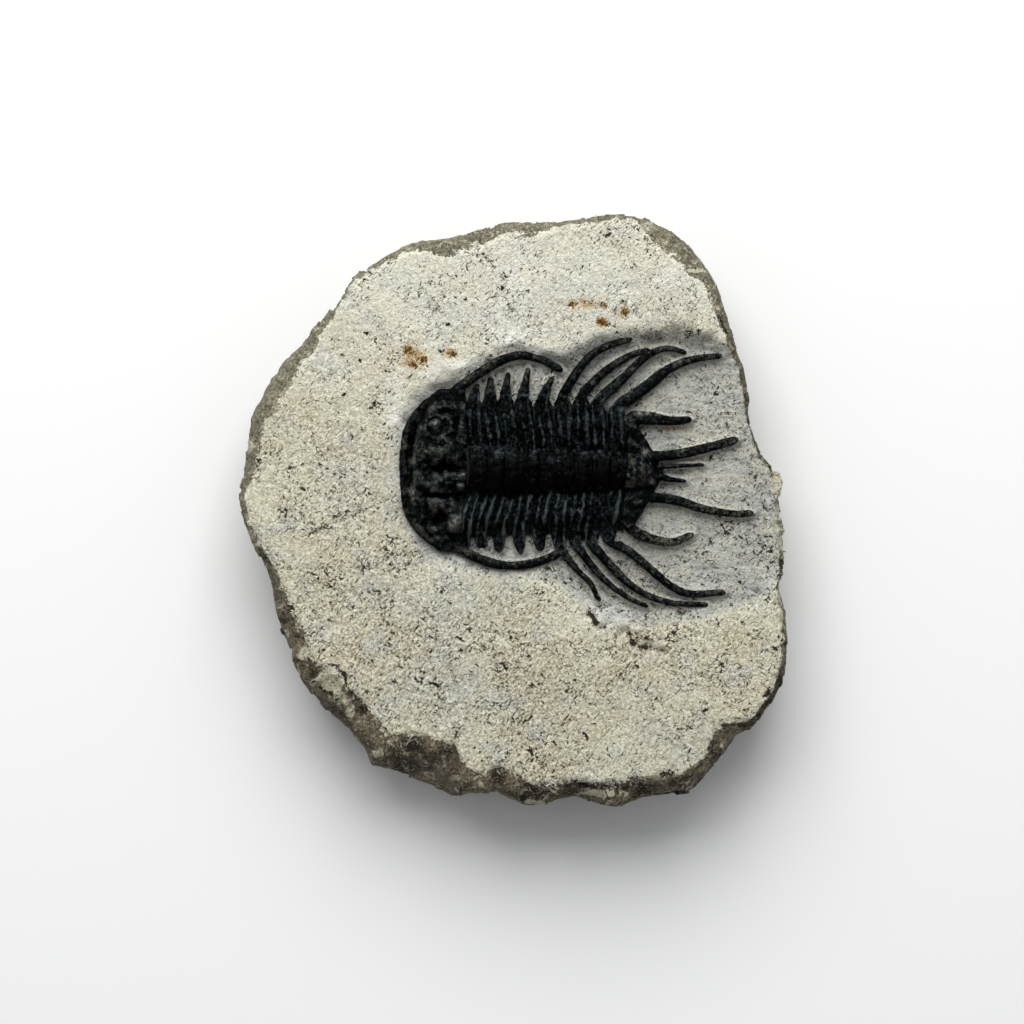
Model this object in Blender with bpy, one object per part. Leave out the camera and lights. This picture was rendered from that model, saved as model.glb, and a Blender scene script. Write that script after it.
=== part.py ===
"""Spiny trilobite fossil, prepared in relief on its loose block of limestone.

Millimetres in the functions, metres in the meshes. +Z is up, +X runs from the
trilobite's head to its tail, and the origin is the middle of the block's sawn base.
Pieces: the block, the head shield, nine body segments and the tail shield.
"""

import math

import bmesh
import bpy
import numpy as np
from mathutils import Vector
from mathutils.bvhtree import BVHTree
from mathutils.geometry import delaunay_2d_cdt

MM = 0.001
AXIS_Y = 4.6           # the trilobite's long axis lies along this line
BODY_LEVEL = 13.2      # underside of the shell at its margin
FLOOR_LEVEL = 12.8     # stone cut down by the preparator around the fossil
FACE_LEVEL = 14.3      # stone face outside the hollow
GAP = 0.3              # clearance between pieces that touch
SEGMENTS = 9
AROUND = 112           # points round the rim of the block, a multiple of 8
FACE_STEP = 2.8        # spacing of the points on the open stone face
HOLLOW_WALL = 1.5      # width of the slope round the hollow
CORE_ROWS = [0.0, 1.2, 2.3, 3.4, 4.6, 5.8, 6.9, 8.0, 9.2, 10.6]

EDGE_HEIGHT = 0.9      # heights of the shell above BODY_LEVEL
PLEURA_HEIGHT = 2.9
AXIS_HEIGHT = 4.7
SHELL = 0.8            # thickness of the shell

# Outer silhouette of the block seen from above, clockwise from the west corner
SKIRT = [
    (-30.5, 1.3), (-29.8, 4.6), (-29.3, 7.9), (-28.8, 10.8), (-27.4, 13.1), (-25.7, 15.8),
    (-23.6, 18.4), (-21.1, 20.6), (-19.2, 23.6), (-18.1, 25.7), (-16.2, 27.3), (-13.3, 28.8),
    (-10.7, 29.8), (-7.4, 30.1), (-4.1, 30.9), (-2.4, 31.5), (-0.2, 32.0), (4.2, 31.9),
    (8.6, 32.5), (11.9, 32.9), (14.6, 32.6), (18.5, 30.9), (20.7, 27.8), (22.0, 26.4),
    (22.9, 24.2), (23.9, 21.9), (24.9, 17.8), (26.1, 12.7), (26.3, 10.1), (27.5, 6.6),
    (29.4, 3.7), (29.3, 1.1), (30.1, -3.1), (30.2, -6.4), (29.6, -8.8), (30.4, -13.0),
    (30.5, -15.2), (30.2, -18.1), (28.9, -21.2), (26.7, -23.8), (24.9, -24.6), (22.9, -27.8),
    (21.0, -29.5), (20.1, -31.1), (17.4, -31.5), (13.8, -31.6), (12.8, -32.7), (10.8, -32.9),
    (6.9, -31.5), (2.5, -32.7), (0.3, -32.2), (-2.4, -30.8), (-4.8, -31.6), (-6.3, -31.6),
    (-10.1, -29.7), (-13.4, -28.7), (-15.6, -28.2), (-16.1, -26.7), (-18.4, -24.0),
    (-22.0, -21.0), (-22.9, -19.6), (-24.2, -17.6), (-24.5, -15.4), (-26.0, -12.1),
    (-26.4, -8.6), (-27.6, -5.3), (-28.8, -2.5), (-30.0, 0.2),
]

# Width of the broken slope outside the prepared face, by bearing from +X, anticlockwise
SLOPE_WIDTH = [
    (0, 0.6), (20, 0.6), (38, 0.9), (50, 1.0), (57, 1.9), (62, 1.7), (67, 0.3), (80, 0.3),
    (86, 1.1), (95, 1.2), (105, 1.6), (111, 0.5), (135, 0.4), (141, 1.1), (152, 1.8),
    (162, 1.8), (171, 1.0), (178, 0.4), (190, 0.4), (198, 1.1), (208, 2.0), (216, 2.2),
    (221, 3.8), (230, 3.0), (239, 2.8), (249, 4.6), (256, 4.4), (262, 2.0), (272, 2.6),
    (282, 1.6), (290, 2.9), (298, 2.0), (306, 1.3), (313, 2.2), (320, 0.7), (340, 0.8),
]

# Edge of the hollow that was cut around the fossil; it runs out at the east side
HOLLOW = [
    (-13.6, 4.6), (-13.3, 9.6), (-11.4, 13.2), (-7.9, 14.9), (-3.5, 17.9), (1.4, 19.0),
    (5.3, 18.6), (8.0, 20.2), (12.4, 21.4), (18.5, 21.4), (23.1, 20.4), (28.5, 17.0),
    (34.0, 4.6), (34.0, -5.3), (26.7, -10.8), (20.7, -12.6), (15.2, -13.4), (9.7, -12.6),
    (6.6, -10.4), (4.4, -8.2), (0.9, -7.9), (-3.5, -7.3), (-7.4, -5.9), (-10.7, -4.9),
    (-12.8, -0.9),
]

# Spines in plan, from the root to the tip, then the radius at each end
NORTH_SPINES = [
    ([(-4.2, 12.5), (-4.0, 13.4), (-3.7, 14.1)], 0.40, 0.20),
    ([(-2.4, 12.7), (-2.4, 13.9), (-2.3, 14.9)], 0.42, 0.25),
    ([(-0.7, 12.7), (-0.6, 14.1), (-0.4, 15.4)], 0.45, 0.28),
    ([(1.2, 12.7), (1.5, 14.3), (1.8, 15.9)], 0.48, 0.28),
    ([(3.4, 12.6), (4.0, 13.9), (4.5, 14.9)], 0.48, 0.28),
    ([(5.4, 12.3), (6.0, 13.6), (7.3, 15.6), (8.8, 17.3), (10.6, 18.3), (13.2, 19.1)], 0.50, 0.36),
    ([(7.2, 12.1), (8.0, 13.3), (9.7, 15.0), (11.4, 16.3), (13.2, 17.3), (14.4, 17.6)], 0.46, 0.26),
    ([(9.2, 11.9), (10.3, 13.0), (12.1, 14.6), (13.9, 16.4), (15.4, 17.5), (17.2, 18.1),
      (18.8, 17.8)], 0.50, 0.26),
    ([(11.5, 11.6), (13.4, 12.9), (15.2, 14.1), (16.9, 15.5), (18.7, 16.4), (20.5, 16.9),
      (23.1, 17.2)], 0.60, 0.28),
]
SOUTH_SPINES = [
    ([(-5.2, -3.2), (-5.1, -3.5), (-5.0, -3.9)], 0.40, 0.22),
    ([(-3.4, -3.2), (-3.3, -3.6), (-3.3, -4.0)], 0.42, 0.25),
    ([(-1.4, -3.2), (-1.4, -3.8), (-1.5, -4.4)], 0.45, 0.25),
    ([(0.8, -3.2), (0.9, -4.0), (0.9, -4.7)], 0.45, 0.25),
    ([(3.0, -3.2), (3.1, -3.8), (3.2, -4.3)], 0.45, 0.25),
    ([(5.2, -3.6), (5.9, -4.8), (7.2, -6.4), (8.6, -7.8), (9.3, -9.2), (9.7, -9.8)], 0.42, 0.20),
    ([(7.0, -3.6), (8.6, -5.7), (10.1, -7.4), (11.7, -8.7), (13.3, -9.7), (15.0, -10.4)], 0.42, 0.20),
    ([(8.7, -3.5), (10.4, -5.4), (11.8, -6.9), (13.3, -8.2), (15.0, -9.2), (17.6, -10.0),
      (21.6, -10.2)], 0.50, 0.20),
    ([(10.6, -3.2), (12.3, -4.0), (14.1, -5.3), (15.8, -6.8), (17.6, -8.2), (19.6, -9.0),
      (23.5, -8.8)], 0.50, 0.32),
]
GENAL_SPINES = [
    ([(-6.6, 13.0), (-5.2, 14.1), (-3.5, 15.3), (-1.3, 16.6), (0.9, 17.2), (3.1, 16.8),
      (5.4, 15.6)], 0.52, 0.28),
    ([(-7.2, -3.4), (-5.8, -4.0), (-4.1, -4.9), (-1.9, -5.7), (0.3, -5.9), (2.5, -5.5),
      (4.2, -5.0)], 0.52, 0.28),
]
TAIL_SPINES = [
    ([(12.9, 10.2), (15.2, 10.0), (17.4, 9.8), (19.9, 10.1)], 0.62, 0.36),
    ([(14.6, 6.0), (17.9, 6.4), (21.2, 7.1), (24.8, 7.8)], 0.55, 0.42),
    ([(15.6, 4.9), (18.5, 5.1), (21.2, 5.2)], 0.30, 0.18),
    ([(15.6, 3.9), (17.4, 3.5), (19.2, 3.4)], 0.32, 0.20),
    ([(14.3, 1.7), (17.9, 1.1), (21.2, 0.3), (24.5, -0.2), (26.6, -0.1)], 0.55, 0.30),
    ([(12.7, -2.0), (15.2, -2.9), (17.6, -3.3), (20.0, -2.4)], 0.55, 0.36),
]

# One slice of a body segment: share of its width from the middle, and height from mid-shell
RIB_SLICE = [(-0.5, -0.4), (-0.5, 0.05), (-0.3, 0.33), (-0.08, 0.06), (0.22, 0.42), (0.5, 0.12),
             (0.5, -0.4), (0.0, -0.4)]
SPINE_SLICE_DEG = [215, 170, 125, 90, 50, 10, -35, -90]


def smoothstep(t):
    t = np.clip(t, 0.0, 1.0)
    return t * t * (3 - 2 * t)


def hill(x, y, centre, radius):
    """Round bump of height 1 and the given radii."""
    return np.exp(-(((x - centre[0]) / radius[0]) ** 2 + ((y - centre[1]) / radius[1]) ** 2))


def inside_distance(points, x, y):
    """Distance to a closed outline, positive inside it."""
    corners = np.array(points)
    nearest = np.full(np.shape(x), 1e9)
    inside = np.zeros(np.shape(x), bool)
    for (ax, ay), (bx, by) in zip(corners, np.roll(corners, -1, 0)):
        along = np.clip(((x - ax) * (bx - ax) + (y - ay) * (by - ay)) / ((bx - ax) ** 2 + (by - ay) ** 2), 0, 1)
        nearest = np.minimum(nearest, np.hypot(x - ax - along * (bx - ax), y - ay - along * (by - ay)))
        crosses = (ay > y) != (by > y)
        inside ^= crosses & (x < (bx - ax) * (y - ay) / ((by - ay) or 1e-9) + ax)
    return np.where(inside, nearest, -nearest)


def smooth_path(points, count):
    """Evenly spaced points on a Catmull-Rom curve through the given ones."""
    ends = [2 * np.array(points[0]) - points[1], *map(np.array, points), 2 * np.array(points[-1]) - points[-2]]
    fine = []
    for before, start, end, after in zip(ends, ends[1:], ends[2:], ends[3:]):
        for t in np.linspace(0, 1, 12, endpoint=False):
            fine.append(0.5 * (2 * start + (end - before) * t
                               + (2 * before - 5 * start + 4 * end - after) * t * t
                               + (3 * start - before - 3 * end + after) * t ** 3))
    fine = np.array([*fine, points[-1]])
    travelled = np.concatenate([[0], np.cumsum(np.hypot(*np.diff(fine, axis=0).T))])
    wanted = np.linspace(0, travelled[-1], count)
    return np.stack([np.interp(wanted, travelled, fine[:, k]) for k in (0, 1)], 1)


def radius_by_bearing(points):
    """The outline as a function from bearing in degrees to radius."""
    bearing = np.degrees([math.atan2(y, x) for x, y in points]) % 360
    order = np.argsort(bearing)
    radius = np.hypot(*np.array(points).T)[order]
    return lambda degrees: np.interp(degrees, bearing[order], radius, period=360)


def face_height(x, y):
    """The prepared face of the stone, without the core under the fossil."""
    face = (FACE_LEVEL + 0.015 * (y - AXIS_Y) + 0.006 * x - 0.0006 * (x * x + y * y)
            + 0.5 * hill(x, y, (15, 25), (9, 6)) + 0.35 * hill(x, y, (8, -17), (12, 5))
            - 0.4 * hill(x, y, (27, -4), (5, 12)))
    floor = FLOOR_LEVEL - 0.03 * np.clip(x - 17, 0, 12)
    hollow = smoothstep(inside_distance(HOLLOW, x, y) / HOLLOW_WALL)
    return face + (floor - face) * hollow


def half_width(x):
    return 8.1 - 0.045 * np.clip(x + 5, 0, 30)


def axis_half_width(x):
    return 2.9 - 0.05 * np.clip(x + 4, 0, 30)


def arch_height(x, y):
    """Cross-section of the body: a high middle lobe between two flatter, bent-down ones."""
    across = np.abs(y - AXIS_Y)
    lobe = axis_half_width(x)
    side = np.clip((across - lobe) / (half_width(x) - lobe), 0, 1)
    flank = EDGE_HEIGHT + (PLEURA_HEIGHT - EDGE_HEIGHT) * (1 - smoothstep((side - 0.4) / 0.6))
    crown = np.sqrt(np.clip(1 - (across / lobe) ** 2, 0, 1))
    return flank + (AXIS_HEIGHT - PLEURA_HEIGHT) * crown


def segment_edge(number, y):
    """X of the joint in front of a body segment, counted from 0 behind the head."""
    north, middle, south = -5.1 + 1.99 * number, -4.6 + 1.91 * number, -5.7 + 1.93 * number
    return np.interp(y, [AXIS_Y - 8, AXIS_Y, AXIS_Y + 8], [south, middle, north])


def head_front(y):
    return -12.4 + 4.6 * (np.abs(y - AXIS_Y) / 9.0) ** 3.2


def tail_back(y):
    return 16.6 - 0.43 * np.abs(y - AXIS_Y + 0.3) ** 1.13


def head_height(x, y):
    """Head shield above BODY_LEVEL: rolled border, cheeks, eyes and a lobed middle."""
    from_front = x - head_front(y)
    from_side = 9.2 - np.abs(y - AXIS_Y)
    inward = np.minimum(1.3 * from_front, from_side)
    rise = smoothstep((inward - 0.5) / 4.0)
    height = EDGE_HEIGHT + (PLEURA_HEIGHT - 0.5) * rise
    for side in (1, -1):
        height += 1.5 * hill(x, y, (-8.1, AXIS_Y + side * 4.4), (0.9, 0.9))
        height += 0.9 * hill(x, y, (-7.6, AXIS_Y + side * 1.7), (1.2, 0.8))
        height += 0.4 * hill(x, y, (-9.9, AXIS_Y + side * 1.3), (0.7, 0.7))
    height += 0.9 * hill(x, y, (-8.2, AXIS_Y), (2.8, 2.4))
    height += 0.5 * hill(x, y, (-5.3, AXIS_Y), (0.5, 2.2))
    return height - 0.35 * hill(inward, 0, (1.1, 0), (0.4, 1))


def tail_height(x, y):
    """Tail shield above BODY_LEVEL: the arch running out to a thin back edge."""
    rise = smoothstep((tail_back(y) - x) / 3.2)
    return EDGE_HEIGHT + (arch_height(x, y) - EDGE_HEIGHT) * rise


def core_height(x, y):
    """The stone that fills the fossil's inside, kept clear of the shell."""
    def shell_top(y):
        inward = np.minimum(x - head_front(y), 9.2 - np.abs(y - AXIS_Y))
        head = EDGE_HEIGHT + 2.0 * smoothstep((inward - 1.6) / 3.4)
        return np.where(x < -4.8, head, tail_height(x, y))
    reach = 0.9
    lowest = np.minimum(np.minimum(shell_top(y - reach), shell_top(y)), shell_top(y + reach))
    return BODY_LEVEL + lowest - SHELL - 0.75


def stone_height(x, y):
    return np.maximum(face_height(x, y), core_height(x, y))


def new_object(name, vertices, faces, material, smooth_angle=None):
    """A closed mesh from millimetre vertices."""
    mesh = bpy.data.meshes.new(name)
    mesh.from_pydata([tuple(MM * float(c) for c in v) for v in vertices], [], faces)
    bm = bmesh.new()
    bm.from_mesh(mesh)
    bmesh.ops.recalc_face_normals(bm, faces=bm.faces)
    bm.to_mesh(mesh)
    bm.free()
    mesh.materials.append(material)
    if smooth_angle:
        mesh.shade_smooth()
        mesh.set_sharp_from_angle(angle=math.radians(smooth_angle))
    made = bpy.data.objects.new(name, mesh)
    bpy.context.scene.collection.objects.link(made)
    return made


def make_material(name, colour, roughness):
    material = bpy.data.materials.new(name)
    material.use_nodes = True
    shader = material.node_tree.nodes["Principled BSDF"]
    shader.inputs["Base Color"].default_value = (*colour, 1)
    shader.inputs["Roughness"].default_value = roughness
    shader.inputs["Metallic"].default_value = 0.0
    return material


def lofted(name, rings, material):
    """A closed skin over rings of equal point count, capped at both ends."""
    count = len(rings[0])
    vertices = [point for ring in rings for point in ring]
    faces = [list(range(count))[::-1], [len(vertices) - count + k for k in range(count)]]
    for row in range(len(rings) - 1):
        for k in range(count):
            a, b = row * count + k, row * count + (k + 1) % count
            faces.append([a, b, b + count, a + count])
    return new_object(name, vertices, faces, material, 35)


def unite(base, extras):
    """Fuses the extra solids into the base."""
    for extra in extras:
        cut = base.modifiers.new("Fuse", "BOOLEAN")
        cut.operation = "UNION"
        cut.solver = "EXACT"
        cut.object = extra
    bpy.context.view_layer.update()
    fused = bpy.data.meshes.new_from_object(base.evaluated_get(bpy.context.evaluated_depsgraph_get()))
    base.modifiers.clear()
    base.data = fused
    for extra in extras:
        bpy.data.objects.remove(extra)


def square_bearing(a, b):
    """Bearing of a point on a square, spread evenly along its sides."""
    if abs(a) >= abs(b):
        return (45 * b / a + (180 if a < 0 else 0)) % 360
    return (90 - 45 * a / b + (180 if b < 0 else 0)) % 360


def face_points(rim):
    """Points of the stone face: rows along the fossil, the hollow's edge, then wider uneven ones."""
    rows = sorted({AXIS_Y + side * across for across in CORE_ROWS for side in (1, -1)})
    points = [(x, y) for x in np.arange(-13.0, 18.1, 1.75) for y in rows
              if inside_distance(HOLLOW, x, y) > HOLLOW_WALL + 0.7]
    edge = smooth_path([*HOLLOW, HOLLOW[0]], 56)[:-1]
    ahead = np.roll(edge, -1, 0) - np.roll(edge, 1, 0)
    inward = np.stack([ahead[:, 1], -ahead[:, 0]], 1) / np.hypot(*ahead.T)[:, None]
    for line in (edge, edge + HOLLOW_WALL * inward):
        points += [tuple(p) for p in line if inside_distance(rim, *p) > 1.2]
    uneven = np.random.default_rng(11)
    for x in np.arange(-31, 32, FACE_STEP):
        for y in np.arange(-33, 34, FACE_STEP):
            spot = np.array((x, y)) + uneven.uniform(-0.7, 0.7, 2)
            depth = inside_distance(HOLLOW, *spot)
            beside = spot[0] < -14 or spot[0] > 19.2 or abs(spot[1] - AXIS_Y) > CORE_ROWS[-1] + 1.1
            if (depth < -1.2 or depth > HOLLOW_WALL + 1 and beside) and inside_distance(rim, *spot) > 1.2:
                points.append(tuple(spot))
    return points


def build_stone(material):
    """The block: a triangulated face, then rings of broken facets down to the flat base."""
    skirt_radius = radius_by_bearing(SKIRT)
    bearings, widths = zip(*SLOPE_WIDTH)
    side = AROUND // 8
    walk = [(1, j / side) for j in range(-side, side)] + [(-i / side, 1) for i in range(-side, side)]
    walk += [(-1, -j / side) for j in range(-side, side)] + [(i / side, -1) for i in range(-side, side)]
    rim = []
    for a, b in walk:
        bearing = square_bearing(a, b)
        outer = float(skirt_radius(bearing))
        width = float(np.interp(bearing, bearings, widths, period=360))
        rim.append((bearing, outer, width))
    plan = [((outer - width) * math.cos(math.radians(d)), (outer - width) * math.sin(math.radians(d)))
            for d, outer, width in rim]

    points = [Vector(p) for p in plan + face_points(plan)]
    loop = [(k, (k + 1) % AROUND) for k in range(AROUND)]
    flat, _, faces, *_ = delaunay_2d_cdt(points, loop, [], 1, 1e-6)
    vertices = [(p.x, p.y, float(stone_height(np.array(p.x), np.array(p.y)))) for p in flat]
    faces = [list(face) for face in faces]

    previous = list(range(AROUND))
    rough = np.random.default_rng(7).uniform(-1, 1, (4, AROUND))
    jitter = 0.4 * rough + 0.6 * (np.roll(rough, 1, 1) + np.roll(rough, -1, 1) + np.roll(rough, 2, 1))
    for level in range(4):
        ring = []
        for k, (bearing, outer, width) in enumerate(rim):
            z = vertices[k][2]
            waist = z - 2.2 - 0.9 * width
            radius, height = [
                (outer - 0.42 * width + 0.1 * jitter[0, k], z - 0.25 * (z - waist) + 0.12 * rough[0, k]),
                (outer, waist + 0.7 * jitter[1, k]),
                (outer - 1.3 + 0.45 * jitter[2, k], 0.42 * waist + 0.8 * jitter[3, k]),
                (outer - 2.9 + 0.35 * jitter[3, k], 0.0),
            ][level]
            ring.append(len(vertices))
            turn = math.radians(bearing)
            vertices.append((radius * math.cos(turn), radius * math.sin(turn), height))
        faces += [[previous[k], ring[k], ring[(k + 1) % AROUND], previous[(k + 1) % AROUND]]
                  for k in range(AROUND)]
        previous = ring
    faces.append(previous)
    return new_object("stone_block", vertices, faces, material)


def spine_rings(plan, root_radius, tip_radius, stone_top, count, lift, root_height):
    """Round slices along a spine, from its root to its tip, kept clear of the stone below."""
    path = smooth_path(plan, count)
    share = np.linspace(0, 1, count)
    radii = root_radius + (tip_radius - root_radius) * share
    centres = []
    for (x, y), radius, t in zip(path, radii, share):
        reach = radius + 0.15
        nearby = ((0, 0), (reach, 0), (-reach, 0), (0, reach), (0, -reach))
        under = max(stone_top(x + dx, y + dy) for dx, dy in nearby)
        root = root_height * (1 - smoothstep(t / lift[1]))
        wanted = BODY_LEVEL + root + lift[0] * math.sin(math.pi * min(t * 1.1, 1))
        centres.append(Vector((x, y, max(under + GAP + radius, wanted))))
    rings = []
    for k, centre in enumerate(centres):
        along = (centres[min(k + 1, count - 1)] - centres[max(k - 1, 0)]).normalized()
        rings.append((centre, along, float(radii[k])))
    return rings


def round_slice(centre, along, radius):
    """Points round a spine in the order of RIB_SLICE, for a path that runs north to south."""
    side = Vector((0, 0, 1)).cross(along).normalized()
    normal = along.cross(side)
    return [centre + radius * (math.cos(math.radians(d)) * side + math.sin(math.radians(d)) * normal)
            for d in SPINE_SLICE_DEG]


def build_segment(number, material, stone_top):
    """One body segment, swept from the tip of its north spine over the arch to the south tip."""
    long_spine = number >= 5
    count, lift = (9, (0.45, 0.25)) if long_spine else (4, (0.1, 0.9))
    root_height = EDGE_HEIGHT - SHELL / 2
    north = spine_rings(*NORTH_SPINES[number], stone_top, count, lift, root_height)
    south = spine_rings(*SOUTH_SPINES[number], stone_top, count, lift, root_height)
    rings = [round_slice(centre, -along, radius) for centre, along, radius in reversed(north)]
    reach = float(half_width(segment_edge(number + 0.5, AXIS_Y))) - 0.25
    lobe = float(axis_half_width(segment_edge(number, AXIS_Y)))
    flank = [reach, reach - 1.0, reach - 2.0, reach - 3.2, lobe + 0.6, lobe, 0.85 * lobe, 0.45 * lobe]
    for across in [*flank, 0.0, *[-v for v in reversed(flank)]]:
        y = AXIS_Y + across
        front = float(segment_edge(number, y)) + 0.13
        back = float(segment_edge(number + 1, y)) - 0.13
        middle, width = (front + back) / 2, back - front
        nudge = 0.05
        before, after = (float(arch_height(np.array(middle), np.array(y + d))) for d in (-nudge, nudge))
        tilt = math.atan2(before - after, 2 * nudge)
        tilt = max(-1.1, min(1.1, tilt))
        height = BODY_LEVEL + float(arch_height(np.array(middle), np.array(y))) - SHELL / 2
        rings.append([Vector((middle + a * width, y + b * math.sin(tilt), height + b * math.cos(tilt)))
                      for a, b in RIB_SLICE])
    rings += [round_slice(*ring) for ring in south]
    return lofted(f"body_segment_{number + 1}", rings, material)


def build_shield(name, front, back, reach, rows, columns, height_of, material, stone_top):
    """A shell over a plan bounded by two curves, hollow underneath for the stone's core."""
    vertices, top, under = [], {}, {}
    for j in range(rows):
        y = AXIS_Y + reach[0] + (reach[1] - reach[0]) * j / (rows - 1)
        for i in range(columns):
            x = float(front(y) + (back(y) - front(y)) * i / (columns - 1))
            stone = max(stone_top(x + dx, y + dy) for dx in (-0.5, 0, 0.5) for dy in (-0.5, 0, 0.5))
            low = max(BODY_LEVEL, stone + GAP)
            high = max(BODY_LEVEL + float(height_of(np.array(x), np.array(y))), low + 0.4)
            top[i, j] = len(vertices)
            vertices.append((x, y, high))
            under[i, j] = len(vertices)
            vertices.append((x, y, low))
    faces = []
    for i in range(columns - 1):
        for j in range(rows - 1):
            faces.append([top[i, j], top[i + 1, j], top[i + 1, j + 1], top[i, j + 1]])
            faces.append([under[i, j], under[i, j + 1], under[i + 1, j + 1], under[i + 1, j]])
    edge = ([(i, 0) for i in range(columns)] + [(columns - 1, j) for j in range(1, rows)]
            + [(i, rows - 1) for i in range(columns - 2, -1, -1)] + [(0, j) for j in range(rows - 2, 0, -1)])
    for a, b in zip(edge, edge[1:] + edge[:1]):
        faces.append([top[a], under[a], under[b], top[b]])
    return new_object(name, vertices, faces, material, 50)


def build_head(material, stone_top):
    head = build_shield("head_shield", head_front, lambda y: segment_edge(0, y) - 0.13,
                        (-9.0, 9.0), 27, 12, head_height, material, stone_top)
    spines = []
    for plan, root, tip in GENAL_SPINES:
        rings = spine_rings(plan, root, tip, stone_top, 11, (0.7, 0.9), 0.45)
        spines.append(lofted("genal_spine", [round_slice(*r) for r in rings], material))
    unite(head, spines)
    return head


def build_tail(material, stone_top):
    tail = build_shield("tail_shield", lambda y: segment_edge(SEGMENTS, y) + 0.13, tail_back,
                        (-6.3, 6.0), 19, 6, tail_height, material, stone_top)
    spines = []
    for plan, root, tip in TAIL_SPINES:
        rings = spine_rings(plan, root, tip, stone_top, 6, (0.25, 0.9), 0.45)
        spines.append(lofted("tail_spine", [round_slice(*r) for r in rings], material))
    unite(tail, spines)
    return tail


def main():
    for old in list(bpy.data.objects):
        bpy.data.objects.remove(old)
    limestone = make_material("limestone", (0.55, 0.53, 0.45), 0.9)
    fossil = make_material("fossil_calcite", (0.022, 0.024, 0.026), 0.45)
    stone = build_stone(limestone)
    bpy.context.view_layer.update()
    surface = BVHTree.FromObject(stone, bpy.context.evaluated_depsgraph_get())

    def stone_top(x, y):
        hit = surface.ray_cast(Vector((MM * x, MM * y, 1.0)), Vector((0, 0, -1)))[0]
        return hit.z / MM if hit else 0.0

    build_head(fossil, stone_top)
    for number in range(SEGMENTS):
        build_segment(number, fossil, stone_top)
    build_tail(fossil, stone_top)


main()
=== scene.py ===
import math

import bpy
import numpy as np
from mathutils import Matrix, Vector
from mathutils.bvhtree import BVHTree


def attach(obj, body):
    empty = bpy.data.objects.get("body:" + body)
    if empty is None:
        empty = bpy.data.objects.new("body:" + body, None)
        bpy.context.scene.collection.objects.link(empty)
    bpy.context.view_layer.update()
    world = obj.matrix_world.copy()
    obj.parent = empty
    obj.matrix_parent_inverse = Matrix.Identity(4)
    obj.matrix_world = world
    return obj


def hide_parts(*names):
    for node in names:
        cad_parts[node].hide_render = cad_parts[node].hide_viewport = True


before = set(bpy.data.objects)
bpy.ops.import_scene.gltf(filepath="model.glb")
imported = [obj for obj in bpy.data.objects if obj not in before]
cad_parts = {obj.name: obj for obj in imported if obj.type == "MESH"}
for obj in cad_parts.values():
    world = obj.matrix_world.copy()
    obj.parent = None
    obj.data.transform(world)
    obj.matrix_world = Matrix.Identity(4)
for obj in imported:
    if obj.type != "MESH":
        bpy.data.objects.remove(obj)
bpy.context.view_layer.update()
mm = 0.001
print("frame loaded:", len(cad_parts), "nodes")

# the animal's layout, in mm: x runs head to tail, y across it, z out of the stone
animal = {
    "axisY": 4.6,
    "level": 13.2,  # where the shell's margin meets the stone
    "edgeHeight": 0.9,
    "sideHeight": 2.9,
    "axisHeight": 4.7,
    "shell": 0.8,
    "segments": 9,
    "ceiling": 17.86,  # nothing stands higher than this
}


def smoothStep(t):
    t = np.clip(t, 0, 1)
    return t * t * (3 - 2 * t)


def easeUnder(value, limit, room=0.35):
    # bends values that near the limit so that they stay under it
    over = (value - limit + room) / room
    return np.where(over > 0, limit - room + room * np.tanh(over), value)


def hill(x, y, place, reach):
    return np.exp(-((x - place[0]) / reach[0]) ** 2 - ((y - place[1]) / reach[1]) ** 2)


def spotted(spots, x, y):
    # soft spots, each given by its place, its reach both ways and its strength
    return sum(strength * hill(x, y, (cx, cy), (rx, ry)) for cx, cy, rx, ry, strength in spots)


def scramble(cells, seed):
    # whole-number cells to even random values from 0 to 1
    key = ((cells[..., 0] * 73856093) ^ (cells[..., 1] * 19349663)
           ^ (cells[..., 2] * 83492791) ^ (seed * 2654435))
    key = (key ^ (key >> 13)) * 1274126177 & 0x7FFFFFFF
    key = (key ^ (key >> 16)) * 668265263 & 0x7FFFFFFF
    return (key & 0xFFFFF) / 0xFFFFF


def cloud(points, size, seed):
    # soft random values from -1 to 1, about one bump to each size
    place = points / size
    base = np.floor(place).astype(np.int64)
    part = smoothStep(place - base)
    total = np.zeros(len(points))
    for corner in np.ndindex(2, 2, 2):
        weight = np.prod(np.where(corner, part, 1 - part), axis=1)
        total += weight * scramble(base + corner, seed)
    return 2 * total - 1


def chips(points, size, seed):
    # flat tilted flakes, each with its own level, like a fresh break
    place = points / size
    base = np.floor(place).astype(np.int64)
    best = np.full(len(points), 9.0)
    value = np.zeros(len(points))
    for corner in np.ndindex(3, 3, 3):
        cell = base + np.array(corner) - 1
        seat = np.stack([scramble(cell, seed + k) for k in (1, 2, 3)], 1)
        tilt = np.stack([scramble(cell, seed + k) for k in (4, 5, 6)], 1) - 0.5
        away = place - cell - seat
        reach = np.sum(away ** 2, axis=1)
        nearer = reach < best
        flake = scramble(cell, seed + 7) - 0.5 + 1.1 * np.sum(away * tilt, axis=1)
        best = np.where(nearer, reach, best)
        value = np.where(nearer, flake, value)
    return value


def smoothPath(points, count):
    # even steps along a rounded curve through the points
    points = [np.array(p) for p in points]
    ends = [2 * points[0] - points[1], *points, 2 * points[-1] - points[-2]]
    fine = []
    for before, start, end, after in zip(ends, ends[1:], ends[2:], ends[3:]):
        for t in np.linspace(0, 1, 16, endpoint=False):
            fine.append(0.5 * (2 * start + (end - before) * t
                               + (2 * before - 5 * start + 4 * end - after) * t * t
                               + (3 * start - before - 3 * end + after) * t ** 3))
    fine = np.array([*fine, points[-1]])
    travelled = np.concatenate([[0], np.cumsum(np.hypot(*np.diff(fine, axis=0).T))])
    wanted = np.linspace(0, travelled[-1], count)
    return np.stack([np.interp(wanted, travelled, fine[:, k]) for k in (0, 1)], 1)


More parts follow.
